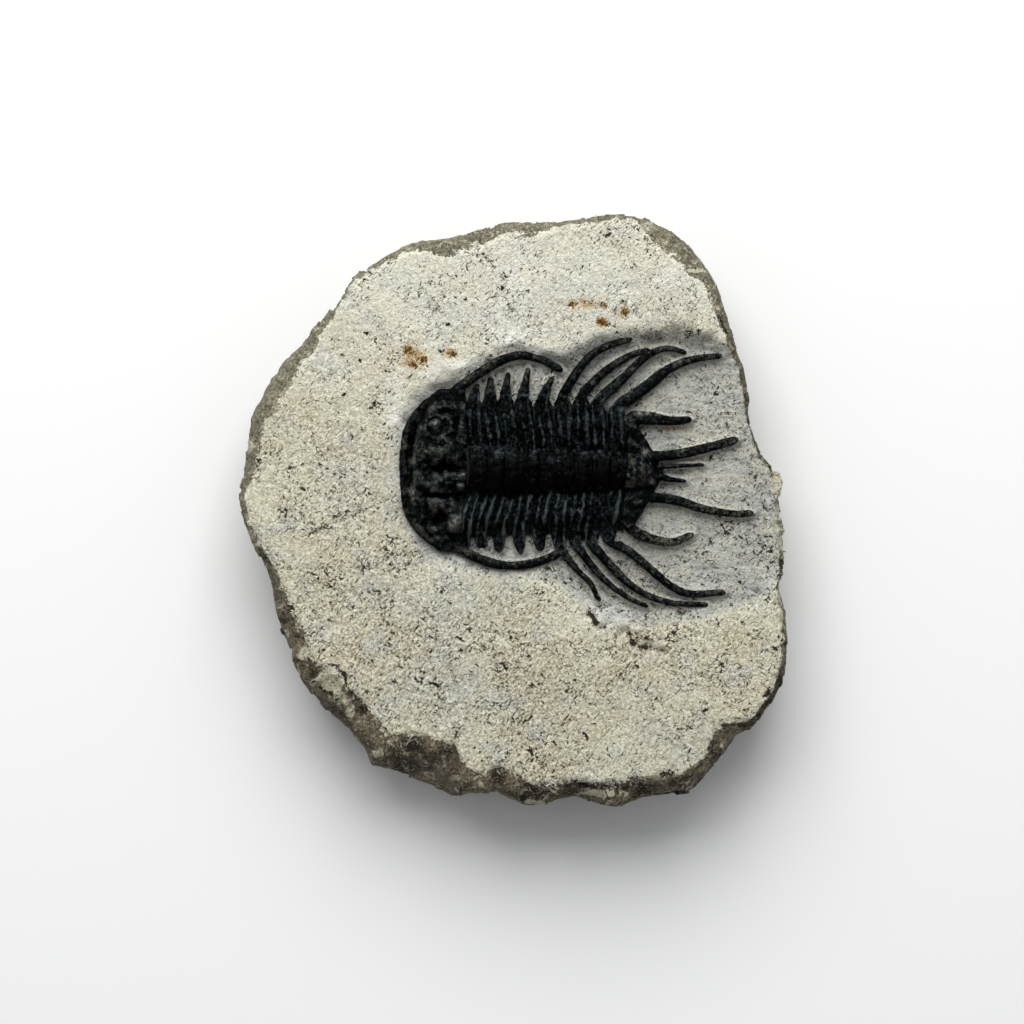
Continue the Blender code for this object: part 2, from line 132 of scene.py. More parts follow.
def flatPoints(x, y):
    return np.stack([x, y, 0 * x], -1).reshape(-1, 3)


def bearingOf(x, y):
    return np.degrees(np.arctan2(y, x)) % 360


def towards(degrees):
    turn = np.radians(degrees)
    return np.column_stack([np.cos(turn), np.sin(turn)])


def edgeDistance(ax, ay, bx, by, x, y):
    # how far each point stands from one straight edge
    length = (bx - ax) ** 2 + (by - ay) ** 2
    along = np.clip(((x - ax) * (bx - ax) + (y - ay) * (by - ay)) / length, 0, 1)
    return np.hypot(x - ax - along * (bx - ax), y - ay - along * (by - ay))


def insideDistance(points, x, y):
    # how far each point lies inside the closed line, below zero outside it
    corners = np.array(points)
    nearest = np.full(np.shape(x), 1e9)
    inside = np.zeros(np.shape(x), bool)
    for (ax, ay), (bx, by) in zip(corners, np.roll(corners, -1, 0)):
        nearest = np.minimum(nearest, edgeDistance(ax, ay, bx, by, x, y))
        inside ^= ((ay > y) != (by > y)) & (x < (bx - ax) * (y - ay) / ((by - ay) or 1e-9) + ax)
    return np.where(inside, nearest, -nearest)


def lineDistance(points, x, y):
    nearest = np.full(np.shape(x), 1e9)
    for (ax, ay), (bx, by) in zip(points, points[1:]):
        nearest = np.minimum(nearest, edgeDistance(ax, ay, bx, by, x, y))
    return nearest


def makePiece(name, vertices, faces, finish):
    mesh = bpy.data.meshes.new(name)
    mesh.from_pydata((np.asarray(vertices) * mm).tolist(), [], faces)
    mesh.update()
    mesh.materials.append(finish)
    mesh.shade_smooth()
    piece = bpy.data.objects.new(name, mesh)
    bpy.context.scene.collection.objects.link(piece)
    return piece


def gridFaces(rows, columns, closed=False):
    last = columns if closed else columns - 1
    faces = []
    for row in range(rows - 1):
        for k in range(last):
            a, b = row * columns + k, row * columns + (k + 1) % columns
            faces.append((a, b, b + columns, a + columns))
    return faces


def tubeFaces(rings, count):
    # a closed tube with a flat cap at each end
    faces = gridFaces(rings, count, closed=True)
    last = (rings - 1) * count
    return faces + [tuple(range(count))[::-1], tuple(last + k for k in range(count))]


def vectorsOf(mesh, what):
    values = np.empty(len(mesh.vertices) * 3)
    mesh.vertices.foreach_get(what, values)
    return values.reshape(-1, 3)


def addMark(piece, name, values):
    # a number at each point, which the finish reads
    layer = piece.data.attributes.new(name, "FLOAT", "POINT")
    layer.data.foreach_set("value", np.asarray(values, dtype=np.float32))


def settle(piece, node):
    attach(piece, "root")
    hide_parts(node)
    print(piece.name, len(piece.data.polygons), "faces")


# finishes

def addNode(tree, kind, inputs=None, **settings):
    made = tree.nodes.new(kind)
    for name, value in settings.items():
        setattr(made, name, value)
    for socket, value in (inputs or {}).items():
        if isinstance(value, bpy.types.NodeSocket):
            tree.links.new(value, made.inputs[socket])
        else:
            made.inputs[socket].default_value = value
    return made


def newFinish(name, shaderValues):
    finish = bpy.data.materials.new(name)
    finish.use_nodes = True
    tree = finish.node_tree
    shader = tree.nodes["Principled BSDF"]
    for socket, value in shaderValues.items():
        shader.inputs[socket].default_value = value
    place = tree.nodes.new("ShaderNodeTexCoord").outputs["Object"]
    return finish, tree, shader, place


def noiseAt(tree, place, size, detail=3.0, rough=0.55, warp=0.0):
    # size is in mm, as wide as one blotch
    made = addNode(tree, "ShaderNodeTexNoise", {
        "Vector": place, "Scale": 1 / (size * mm),
        "Detail": detail, "Roughness": rough, "Distortion": warp})
    return made.outputs["Fac"]


def turned(tree, place, angle, stretch):
    # the pattern made longer by the stretch along a turned direction
    turn = {"Vector": place, "Rotation": (0, 0, angle), "Scale": stretch}
    return addNode(tree, "ShaderNodeMapping", turn, vector_type="TEXTURE").outputs[0]


def between(tree, value, low, high, toLow=0.0, toHigh=1.0):
    # stretches the range from low to high to another one, and holds the value inside that
    span = {"Value": value, "From Min": low, "From Max": high, "To Min": toLow, "To Max": toHigh}
    return addNode(tree, "ShaderNodeMapRange", span).outputs["Result"]


def plus(tree, a, b):
    made = addNode(tree, "ShaderNodeMath", {0: a, 1: b}, operation="ADD", use_clamp=True)
    return made.outputs[0]


def times(tree, a, b):
    made = addNode(tree, "ShaderNodeMath", {0: a, 1: b}, operation="MULTIPLY", use_clamp=True)
    return made.outputs[0]


def mixColour(tree, amount, first, second):
    tints = [c if isinstance(c, bpy.types.NodeSocket) else (*c, 1) for c in (first, second)]
    made = addNode(tree, "ShaderNodeMix", {0: amount, 6: tints[0], 7: tints[1]}, data_type="RGBA")
    return made.outputs[2]


def marked(tree, name):
    # the number that addMark left at each point
    return addNode(tree, "ShaderNodeAttribute", attribute_name=name).outputs["Fac"]


def addBump(tree, shader, height, look):
    bump = addNode(tree, "ShaderNodeBump", {
        "Height": height, "Strength": look["bumpStrength"], "Distance": look["bumpDepth"]})
    tree.links.new(bump.outputs[0], shader.inputs["Normal"])


def limestoneFinish():
    look = {
        # the face; the palest tint is for scraped spots and for painted light towards the north
        "cream": (0.53, 0.505, 0.365), "pale": (0.76, 0.745, 0.605), "scrapedAndLit": (0.86, 0.855, 0.77),
        "tan": (0.45, 0.385, 0.25), "blueGrey": (0.36, 0.375, 0.38),
        "scratch": (0.15, 0.135, 0.095), "fleck": (0.036, 0.030, 0.018), "clump": (0.022, 0.018, 0.011),
        "rust": (0.50, 0.30, 0.055), "rustDark": (0.085, 0.034, 0.005),
        # the hollow round the fossil, and the core under it, painted near-black: the fossil's dark
        # calcite and painted shade in the gaps between segments
        # the wall tint is painted shade for the hollow's north wall, which faces away from the light
        "freshCut": (0.37, 0.385, 0.385), "streak": (0.15, 0.155, 0.15), "wall": (0.235, 0.237, 0.228),
        "darkCoreAndShade": (0.006, 0.007, 0.008),
        # the broken sides
        "broken": (0.165, 0.135, 0.088), "brokenDark": (0.026, 0.021, 0.014),
        "brokenPale": (0.50, 0.45, 0.33), "weathered": (0.19, 0.182, 0.125),
        "seam": (0.022, 0.018, 0.011),
        "roughness": 0.92, "gloss": 0.25, "bumpStrength": 1.0, "bumpDepth": 0.00038,
        # blotch sizes in mm
        "wideSize": 9, "driftSize": 3.2, "clumpSize": 1.3, "grainSize": 0.30,
        "risingSize": 0.25, "fallingSize": 0.36, "streakSize": 0.42,
    }
    shaderValues = {"Roughness": look["roughness"], "Specular IOR Level": look["gloss"]}
    finish, tree, shader, place = newFinish("limestoneFace", shaderValues)
    pointiness = tree.nodes.new("ShaderNodeNewGeometry").outputs["Pointiness"]
    wide = noiseAt(tree, place, look["wideSize"], 2)
    drift = noiseAt(tree, place, look["driftSize"], 3)
    clump = noiseAt(tree, place, look["clumpSize"], 5, 0.68, 0.8)
    grain = noiseAt(tree, place, look["grainSize"], 3, 0.62, 0.5)
    # dashes that rise or fall to the right, and level streaks
    slanted = turned(tree, place, 0.85, (1.9, 0.85, 1))
    rising = noiseAt(tree, slanted, look["risingSize"], 3, 0.64, 0.7)
    slanted = turned(tree, place, -0.6, (1.9, 0.9, 1))
    falling = noiseAt(tree, slanted, look["fallingSize"], 3, 0.66, 0.7)
    level = turned(tree, place, 0, (2.0, 0.9, 1))
    streaks = noiseAt(tree, level, look["streakSize"], 3, 0.66, 0.8)

    def over(below, amount, tint):
        return mixColour(tree, amount, below, look[tint])

    # the face: cream, with drifts of tan and blue-grey and a pale grain
    colour = mixColour(tree, between(tree, wide, 0.44, 0.62), look["cream"], look["tan"])
    colour = over(colour, between(tree, drift, 0.50, 0.68, 0, 0.75), "blueGrey")
    warm = times(tree, marked(tree, "warm"), between(tree, drift, 0.36, 0.58, 0.25, 0.9))
    colour = over(colour, warm, "tan")
    cool = times(tree, marked(tree, "cool"), between(tree, drift, 0.60, 0.40, 0.25, 0.9))
    colour = over(colour, cool, "blueGrey")
    colour = over(colour, between(tree, grain, 0.46, 0.62), "pale")
    colour = over(colour, between(tree, grain, 0.44, 0.35, 0, 0.5), "tan")
    colour = over(colour, between(tree, rising, 0.54, 0.66, 0, 0.75), "pale")
    # paler where scraped, and paler towards the north as painted light
    colour = over(colour, marked(tree, "scrapedAndLit"), "scrapedAndLit")

    # where the stone was cut away around the fossil
    fresh = marked(tree, "freshCut")
    colour = over(colour, times(tree, fresh, 0.85), "freshCut")
    scraped = times(tree, fresh, between(tree, streaks, 0.49, 0.38, 0, 0.75))
    colour = over(colour, scraped, "streak")
    # painted shade: the hollow's north wall, which faces away from the light, darkened to grey
    wall = times(tree, marked(tree, "wall"), between(tree, falling, 0.62, 0.38, 0.35, 1.0))
    colour = over(colour, wall, "wall")

    # rust, then dark dashes and clumps, fewer where the face is clean
    rust = marked(tree, "rust")
    rusty = plus(tree, rust, between(tree, falling, 0.35, 0.65, -0.40, 0.40))
    colour = over(colour, between(tree, rusty, 0.35, 0.85, 0, 0.8), "rust")
    rusty = plus(tree, rust, between(tree, rising, 0.35, 0.65, -0.45, 0.45))
    colour = over(colour, between(tree, rusty, 0.68, 0.84), "rustDark")
    spare = times(tree, marked(tree, "clean"), 0.085)
    stain = between(tree, plus(tree, rising, spare), 0.475, 0.39, 0, 0.8)
    colour = over(colour, stain, "scratch")
    dashes = between(tree, plus(tree, rising, spare), 0.41, 0.368)
    colour = over(colour, dashes, "fleck")
    blots = between(tree, plus(tree, falling, spare), 0.41, 0.375)
    colour = over(colour, blots, "fleck")
    ragged = plus(tree, clump, between(tree, grain, 0.3, 0.7, -0.06, 0.06))
    clumps = between(tree, plus(tree, ragged, spare), 0.405, 0.37)
    colour = over(colour, clumps, "clump")
    grime = plus(tree, marked(tree, "grime"), between(tree, grain, 0.3, 0.7, -0.40, 0.40))
    colour = over(colour, between(tree, grime, 0.45, 0.60), "clump")
    pits = between(tree, pointiness, 0.48, 0.42, 0, 0.7)
    colour = over(colour, pits, "fleck")

    # the broken sides
    rind = mixColour(tree, between(tree, drift, 0.44, 0.60), look["broken"], look["brokenDark"])
    rind = over(rind, marked(tree, "weathered"), "weathered")
    rind = over(rind, between(tree, clump, 0.57, 0.64), "brokenPale")
    rind = over(rind, between(tree, grain, 0.52, 0.64, 0, 0.42), "brokenPale")
    rind = over(rind, between(tree, marked(tree, "paleChip"), 0.35, 0.5), "cream")
    rind = over(rind, between(tree, grain, 0.46, 0.36, 0, 0.7), "brokenDark")
    rind = over(rind, between(tree, rising, 0.42, 0.36, 0, 0.8), "brokenDark")
    wander = plus(tree, marked(tree, "broken"), between(tree, clump, 0.35, 0.65, -0.30, 0.30))
    colour = mixColour(tree, between(tree, wander, 0.46, 0.53), colour, rind)
    seam = plus(tree, marked(tree, "seam"), between(tree, rising, 0.35, 0.65, -0.35, 0.35))
    colour = over(colour, between(tree, seam, 0.45, 0.62), "seam")
    # the core under the shell painted near-black: the fossil's dark calcite and painted shade in the gaps
    # between segments
    colour = over(colour, marked(tree, "darkCoreAndShade"), "darkCoreAndShade")
    tree.links.new(colour, shader.inputs["Base Color"])

    relief = plus(tree, times(tree, grain, 0.6), times(tree, rising, 0.4))
    addBump(tree, shader, relief, look)
    return finish


def calciteFinish(name, dust):
    # dust is how far grey-brown rock powder covers the black shell, from 0 to 1
    look = {
        # black is painted shade for the hollows, slate the dark shell, blueGrey a painted highlight of
        # the sky on the crests
        "black": (0.0004, 0.0005, 0.0005), "slate": (0.0086, 0.0130, 0.0142),
        "blueGrey": (0.060, 0.078, 0.081), "brown": (0.057, 0.051, 0.035),
        # the glint tint is painted highlight, and on the tail also pale dust
        "powder": (0.16, 0.15, 0.125), "chalk": (0.10, 0.095, 0.075), "glintAndDust": (0.22, 0.22, 0.20),
        "roughness": 0.36, "gloss": 0.035, "bumpStrength": 0.9, "bumpDepth": 0.00020,
        # blotch sizes in mm
        "patchSize": 1.9, "mottleSize": 0.42, "grainSize": 0.15,
    }
    shaderValues = {"Roughness": look["roughness"], "Specular IOR Level": look["gloss"]}
    finish, tree, shader, place = newFinish(name, shaderValues)
    patch = noiseAt(tree, place, look["patchSize"], 4, 0.6)
    mottle = noiseAt(tree, place, look["mottleSize"], 4, 0.66, 0.6)
    grain = noiseAt(tree, place, look["grainSize"], 3, 0.6)

    def over(below, amount, tint):
        return mixColour(tree, amount, below, look[tint])

    # painted shade and light: black in the hollows, slate between them, and blue-grey on the crests as a
    # painted highlight, turning brown where the crests carry dust
    crestShading = plus(tree, marked(tree, "crest"), between(tree, mottle, 0.36, 0.64, -0.34, 0.34))
    crestShading = plus(tree, crestShading, between(tree, patch, 0.38, 0.62, -0.12, 0.16))
    dusty = plus(tree, marked(tree, "dust"), dust)
    hue = times(tree, dusty, between(tree, patch, 0.30, 0.55, 0.3, 1.6))
    lit = mixColour(tree, hue, look["blueGrey"], look["brown"])
    colour = mixColour(tree, between(tree, crestShading, 0.17, 0.52), look["black"], look["slate"])
    colour = mixColour(tree, between(tree, crestShading, 0.50, 1.05), colour, lit)
    film = times(tree, dusty, between(tree, patch, 0.46, 0.64, 0, 0.5))
    film = times(tree, film, between(tree, crestShading, 0.25, 0.55))
    colour = over(colour, film, "brown")
    powder = times(tree, between(tree, crestShading, 0.45, 0.75), between(tree, mottle, 0.58, 0.70, 0, 0.55))
    powder = times(tree, powder, between(tree, dusty, 0.0, 0.35))
    colour = over(colour, powder, "powder")
    # painted highlights, with some pale dust on the tail
    glintAndDust = times(tree, marked(tree, "glintAndDust"), between(tree, mottle, 0.42, 0.58, 0.15, 0.9))
    colour = over(colour, glintAndDust, "glintAndDust")
    chalk = times(tree, marked(tree, "chalk"), between(tree, mottle, 0.45, 0.62, 0, 0.7))
    colour = over(colour, chalk, "chalk")
    tree.links.new(colour, shader.inputs["Base Color"])
    tree.links.new(between(tree, film, 0, 1, 0.34, 0.8), shader.inputs["Roughness"])
    relief = plus(tree, times(tree, mottle, 0.6), times(tree, grain, 0.4))
    addBump(tree, shader, relief, look)
    return finish


limestone = limestoneFinish()
shellBlack = calciteFinish("calciteShell", 0.12)
shieldDusty = calciteFinish("calciteShield", 0.42)
print("finishes made")


# shapes that the head, the segments, the tail and the stone share

def halfWidth(x):
    return 8.1 - 0.045 * np.clip(x + 5, 0, 30)


def axisHalfWidth(x):
    return 2.9 - 0.05 * np.clip(x + 4, 0, 30)


def archHeight(x, y):
    across = np.abs(y - animal["axisY"])
    lobe = axisHalfWidth(x)
    side = np.clip((across - lobe) / (halfWidth(x) - lobe), 0, 1)
    drop = 1 - smoothStep((side - 0.4) / 0.6)
    flank = animal["edgeHeight"] + (animal["sideHeight"] - animal["edgeHeight"]) * drop
    crown = np.clip(1 - (across / lobe) ** 2, 0, 1) ** 0.7
    return flank + (animal["axisHeight"] - animal["sideHeight"]) * crown


def segmentEdge(number, y):
    middle = animal["axisY"]
    ends = [-5.7 + 1.93 * number, -4.6 + 1.91 * number, -5.1 + 1.99 * number]
    return np.interp(y, [middle - 8, middle, middle + 8], ends)


def headFront(y):
    return -12.4 + 4.6 * (np.abs(y - animal["axisY"]) / 9.0) ** 3.2


def tailBack(y):
    return 16.6 - 0.43 * np.abs(y - animal["axisY"] + 0.3) ** 1.13


# spines in plan, root to tip, with the radius at each end
northSpines = [
    ([(-4.2, 12.5), (-4.0, 13.4), (-3.7, 14.1)], 0.46, 0.24),
    ([(-2.4, 12.7), (-2.4, 13.9), (-2.3, 14.9)], 0.54, 0.30),
    ([(-0.7, 12.7), (-0.6, 14.1), (-0.4, 15.4)], 0.50, 0.30),
    ([(1.2, 12.7), (1.5, 14.3), (1.8, 15.9)], 0.54, 0.30),
    ([(3.4, 12.6), (4.0, 13.9), (4.5, 14.9)], 0.54, 0.30),
    ([(5.6, 12.6), (6.1, 13.7), (7.3, 15.6), (8.8, 17.3), (10.6, 18.3), (13.2, 19.1)], 0.58, 0.38),
    ([(7.6, 12.6), (8.3, 13.6), (9.7, 15.0), (11.4, 16.3), (13.2, 17.3), (15.2, 17.9)], 0.56, 0.30),
    ([(9.3, 12.1), (10.4, 13.1), (12.1, 14.6), (13.9, 16.4), (15.4, 17.5), (17.2, 18.0),
      (19.2, 17.5)], 0.66, 0.26),
    ([(11.5, 11.4), (12.5, 12.2), (13.6, 12.9), (15.2, 14.1), (16.9, 15.5), (18.7, 16.4),
      (20.5, 16.9), (23.1, 17.2)], 0.80, 0.30),
]
southSpines = [
    ([(-5.2, -3.2), (-5.1, -3.5), (-5.0, -3.9)], 0.44, 0.25),
    ([(-3.4, -3.2), (-3.3, -3.6), (-3.3, -4.0)], 0.54, 0.30),
    ([(-1.4, -3.2), (-1.4, -3.8), (-1.5, -4.4)], 0.48, 0.28),
    ([(0.8, -3.2), (0.9, -4.0), (0.9, -4.7)], 0.48, 0.28),
    ([(3.0, -3.2), (3.1, -3.8), (3.2, -4.3)], 0.48, 0.28),
    ([(5.2, -3.6), (5.9, -4.8), (7.2, -6.4), (8.6, -7.8), (9.3, -9.2), (9.7, -9.8)], 0.46, 0.25),
    ([(7.0, -3.6), (8.6, -5.7), (10.1, -7.4), (11.7, -8.7), (13.3, -9.7), (15.0, -10.4)], 0.46, 0.25),
    ([(8.7, -3.5), (10.4, -5.4), (11.8, -6.9), (13.3, -8.2), (15.0, -9.2), (17.6, -10.0),
      (21.6, -10.2)], 0.54, 0.26),
    ([(10.6, -3.2), (12.3, -4.0), (14.1, -5.3), (15.8, -6.8), (17.6, -8.2), (19.6, -9.0),
      (23.5, -8.8)], 0.54, 0.36),
]
cheekSpines = [
    ([(-6.6, 13.0), (-5.2, 14.1), (-3.5, 15.3), (-1.3, 16.6), (0.9, 17.2), (3.1, 16.8),
      (5.6, 15.5)], 0.58, 0.44),
    ([(-7.2, -3.4), (-5.8, -4.0), (-4.1, -4.9), (-1.9, -5.7), (0.3, -5.9), (2.5, -5.6),
      (4.4, -4.9), (5.6, -4.2)], 0.58, 0.44),
]
tailSpines = [
    ([(12.3, 8.9), (13.2, 10.2), (15.2, 10.3), (17.4, 10.0), (19.8, 10.2)], 0.90, 0.38),
    ([(14.6, 6.0), (17.9, 6.3), (21.2, 7.0), (24.9, 8.0)], 0.60, 0.46),
    ([(15.6, 4.9), (18.5, 5.1), (21.2, 5.2)], 0.30, 0.18),
    ([(15.4, 4.1), (17.4, 3.6), (19.2, 3.4)], 0.46, 0.18),
    ([(14.3, 1.7), (17.9, 1.3), (21.2, 0.3), (24.5, -0.2), (26.6, -0.1)], 0.62, 0.36),
    ([(12.3, -0.6), (13.3, -2.0), (15.2, -2.9), (17.6, -3.3), (20.0, -2.4)], 0.68, 0.34),
]


spineLook = {
    "step": 0.12,  # mm between two slices
    "swell": 0.09, "fineSwell": 0.05,  # how uneven the radius is
    # strength of the painted light on the spines' tops and north sides
    "paintedTopLight": 0.46, "dust": 0.9,
}


def treeOf(nodeName):
    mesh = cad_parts[nodeName].data
    corners = [tuple(v.co / mm) for v in mesh.vertices]
    return BVHTree.FromPolygons(corners, [tuple(p.vertices) for p in mesh.polygons])


def spineHeights(tree, path):
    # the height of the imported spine's middle along its plan
    found = []
    for x, y in path:
        top = tree.ray_cast(Vector((x, y, 40)), Vector((0, 0, -1)))[0]  # 40 mm is above all of it
        foot = tree.ray_cast(Vector((x, y, 0)), Vector((0, 0, 1)))[0]
        found.append((top.z + foot.z) / 2 if top and foot else np.nan)
    found = np.array(found)
    known = ~np.isnan(found)
    steps = np.arange(len(found))
    smooth = np.interp(steps, steps[known], found[known])
    kernel = np.ones(7) / 7
    return np.convolve(np.pad(smooth, 3, mode="edge"), kernel, mode="valid")


def spineRun(tree, plan, rootRadius, tipRadius, step, seed):
    # centre, direction and radius of each slice of a spine, with a rounded tip
    length = float(np.sum(np.hypot(*np.diff(np.array(plan), axis=0).T)))
    count = max(8, int(length / step))  # slices
    path = smoothPath(plan, count)
    centre = np.column_stack([path, spineHeights(tree, path)])
    share = np.linspace(0, 1, count)
    radius = rootRadius + (tipRadius - rootRadius) * share
    radius = radius * (1 + spineLook["swell"] * cloud(centre, 1.6, seed)
                       + spineLook["fineSwell"] * cloud(centre, 0.5, seed + 1))
    fromTip = (1 - share) * length
    rounding = np.clip(fromTip / (1.6 * tipRadius), 0.02, 1)
    radius = radius * np.sqrt(np.clip(1 - (1 - rounding) ** 2, 0, 1))
    along = np.gradient(centre, axis=0)
    along /= np.linalg.norm(along, axis=1)[:, None]
    return centre, along, radius


def spineWear(north, upward):
    # painted light: spines lighter along the top and more on the north side, where the light comes from
    return 0.04 + spineLook["paintedTopLight"] * np.clip(0.5 * north + 0.75 * upward, 0, 1) ** 2


def flankDust(upward):
    # rock powder left along a spine's sides
    return spineLook["dust"] * np.clip(1 - 1.6 * np.abs(upward - 0.15), 0, 1)


def dustPatches(points, seed):
    return np.clip(0.5 + 1.4 * cloud(points, 2.2, seed), 0, 1)


def fullRound(turn):
    # a slice between a circle and a square: flat on top, steep at the sides
    across, up = np.cos(turn), np.sin(turn)
    return np.sign(across) * np.abs(across) ** 0.72, np.sign(up) * np.abs(up) ** 0.80


def sliceFrame(along):
    side = np.cross([0.0, 0.0, 1.0], along)
    side /= np.linalg.norm(side, axis=-1)[..., None]
    return side, np.cross(along, side)


# the body segments: one swept ribbon each, from the north spine's tip to the south one's
segmentLook = {
    "topPoints": 40, "underPoints": 10, "bodySteps": 220,
    "gap": 0.01,
    "rib": 0.60, "ribSag": 0.44,  # height of the two ribs, and how far they start below the arch
    "ring": 0.34, "ringSag": 0.27, "ringGroove": 0.12,
    "furrow": 0.30,  # between the axis and the side lobes
    "wear": 0.075, "fineWear": 0.05, "dust": 0.30,
    "sweep": 6.0,  # length over which the ribs turn towards the spine's root
    "taper": (0.9, 1.3),  # north and south: length over which a side lobe rounds off
    "flareWidth": 0.66, "flareLength": 1.5,  # the broad root of each spine
    "knobs": [0.55, 1.45, 3.5, 4.7, 5.9, 6.9],  # how far from the axis each row of knobs stands
    "knobHeight": 0.13, "knobSize": 0.24,
}


def ribHeight(a, across, lobe):
    # a runs front to back from -0.5 to 0.5; two ribs on the sides, one broad ring on the axis
    look = segmentLook
    wave = 0.5 - 0.5 * np.cos(4 * np.pi * a)
    ribs = (look["rib"] + 0.10 * np.sin(2 * np.pi * a)) * wave - look["ribSag"]
    ring = look["ring"] * (1 - np.abs(2 * a) ** 3) - look["ringSag"]
    ring = ring - look["ringGroove"] * np.exp(-((a + 0.30) / 0.09) ** 2)
    onAxis = 1 - smoothStep((np.abs(across) - lobe + 0.45) / 0.5)
    furrow = look["furrow"] * np.exp(-((np.abs(across) - lobe) / 0.34) ** 2)
    return ribs * (1 - onAxis) + ring * onAxis - furrow


def segmentRelief(number, a, across, width, middle, y):
    look = segmentLook
    lobe = float(axisHalfWidth(middle[len(middle) // 2]))
    flat = flatPoints(middle[:, None] + a * width[:, None], y[:, None] + 0 * a)
    bend = 0.065 * cloud(flat, 1.7, 200) + 0.050 * cloud(flat, 0.7, 201)
    strength = (0.85 + 0.75 * cloud(flat * [1.0, 0.5, 1.0], 1.2, 202)).reshape(a.shape)
    stray = 0.42 * cloud(flat, 1.5, 205) + 0.20 * cloud(flat, 0.6, 206)
    relief = ribHeight(a + bend.reshape(a.shape), across + stray.reshape(a.shape), lobe)
    sag = look["ribSag"]
    relief = relief + sag * (strength - 1) * smoothStep((relief + sag) / 0.5)
    rough = 0.15 * cloud(flat, 0.85, 203) + 0.09 * cloud(flat, 0.34, 204)
    relief = relief + rough.reshape(a.shape)
    dots = np.random.default_rng(100 + number)
    for far in look["knobs"]:
        for sign in (1, -1):
            spot = sign * far + dots.uniform(-0.3, 0.3)
            at = 0.14 + dots.uniform(-0.08, 0.08)
            reach = look["knobSize"] * dots.uniform(0.7, 1.3)
            tall = look["knobHeight"] * dots.uniform(0.2, 1.4)
            relief = relief + tall * np.exp(-((a - at) * width[:, None] / reach) ** 2
                                            - ((across - spot) / reach) ** 2)
    return relief


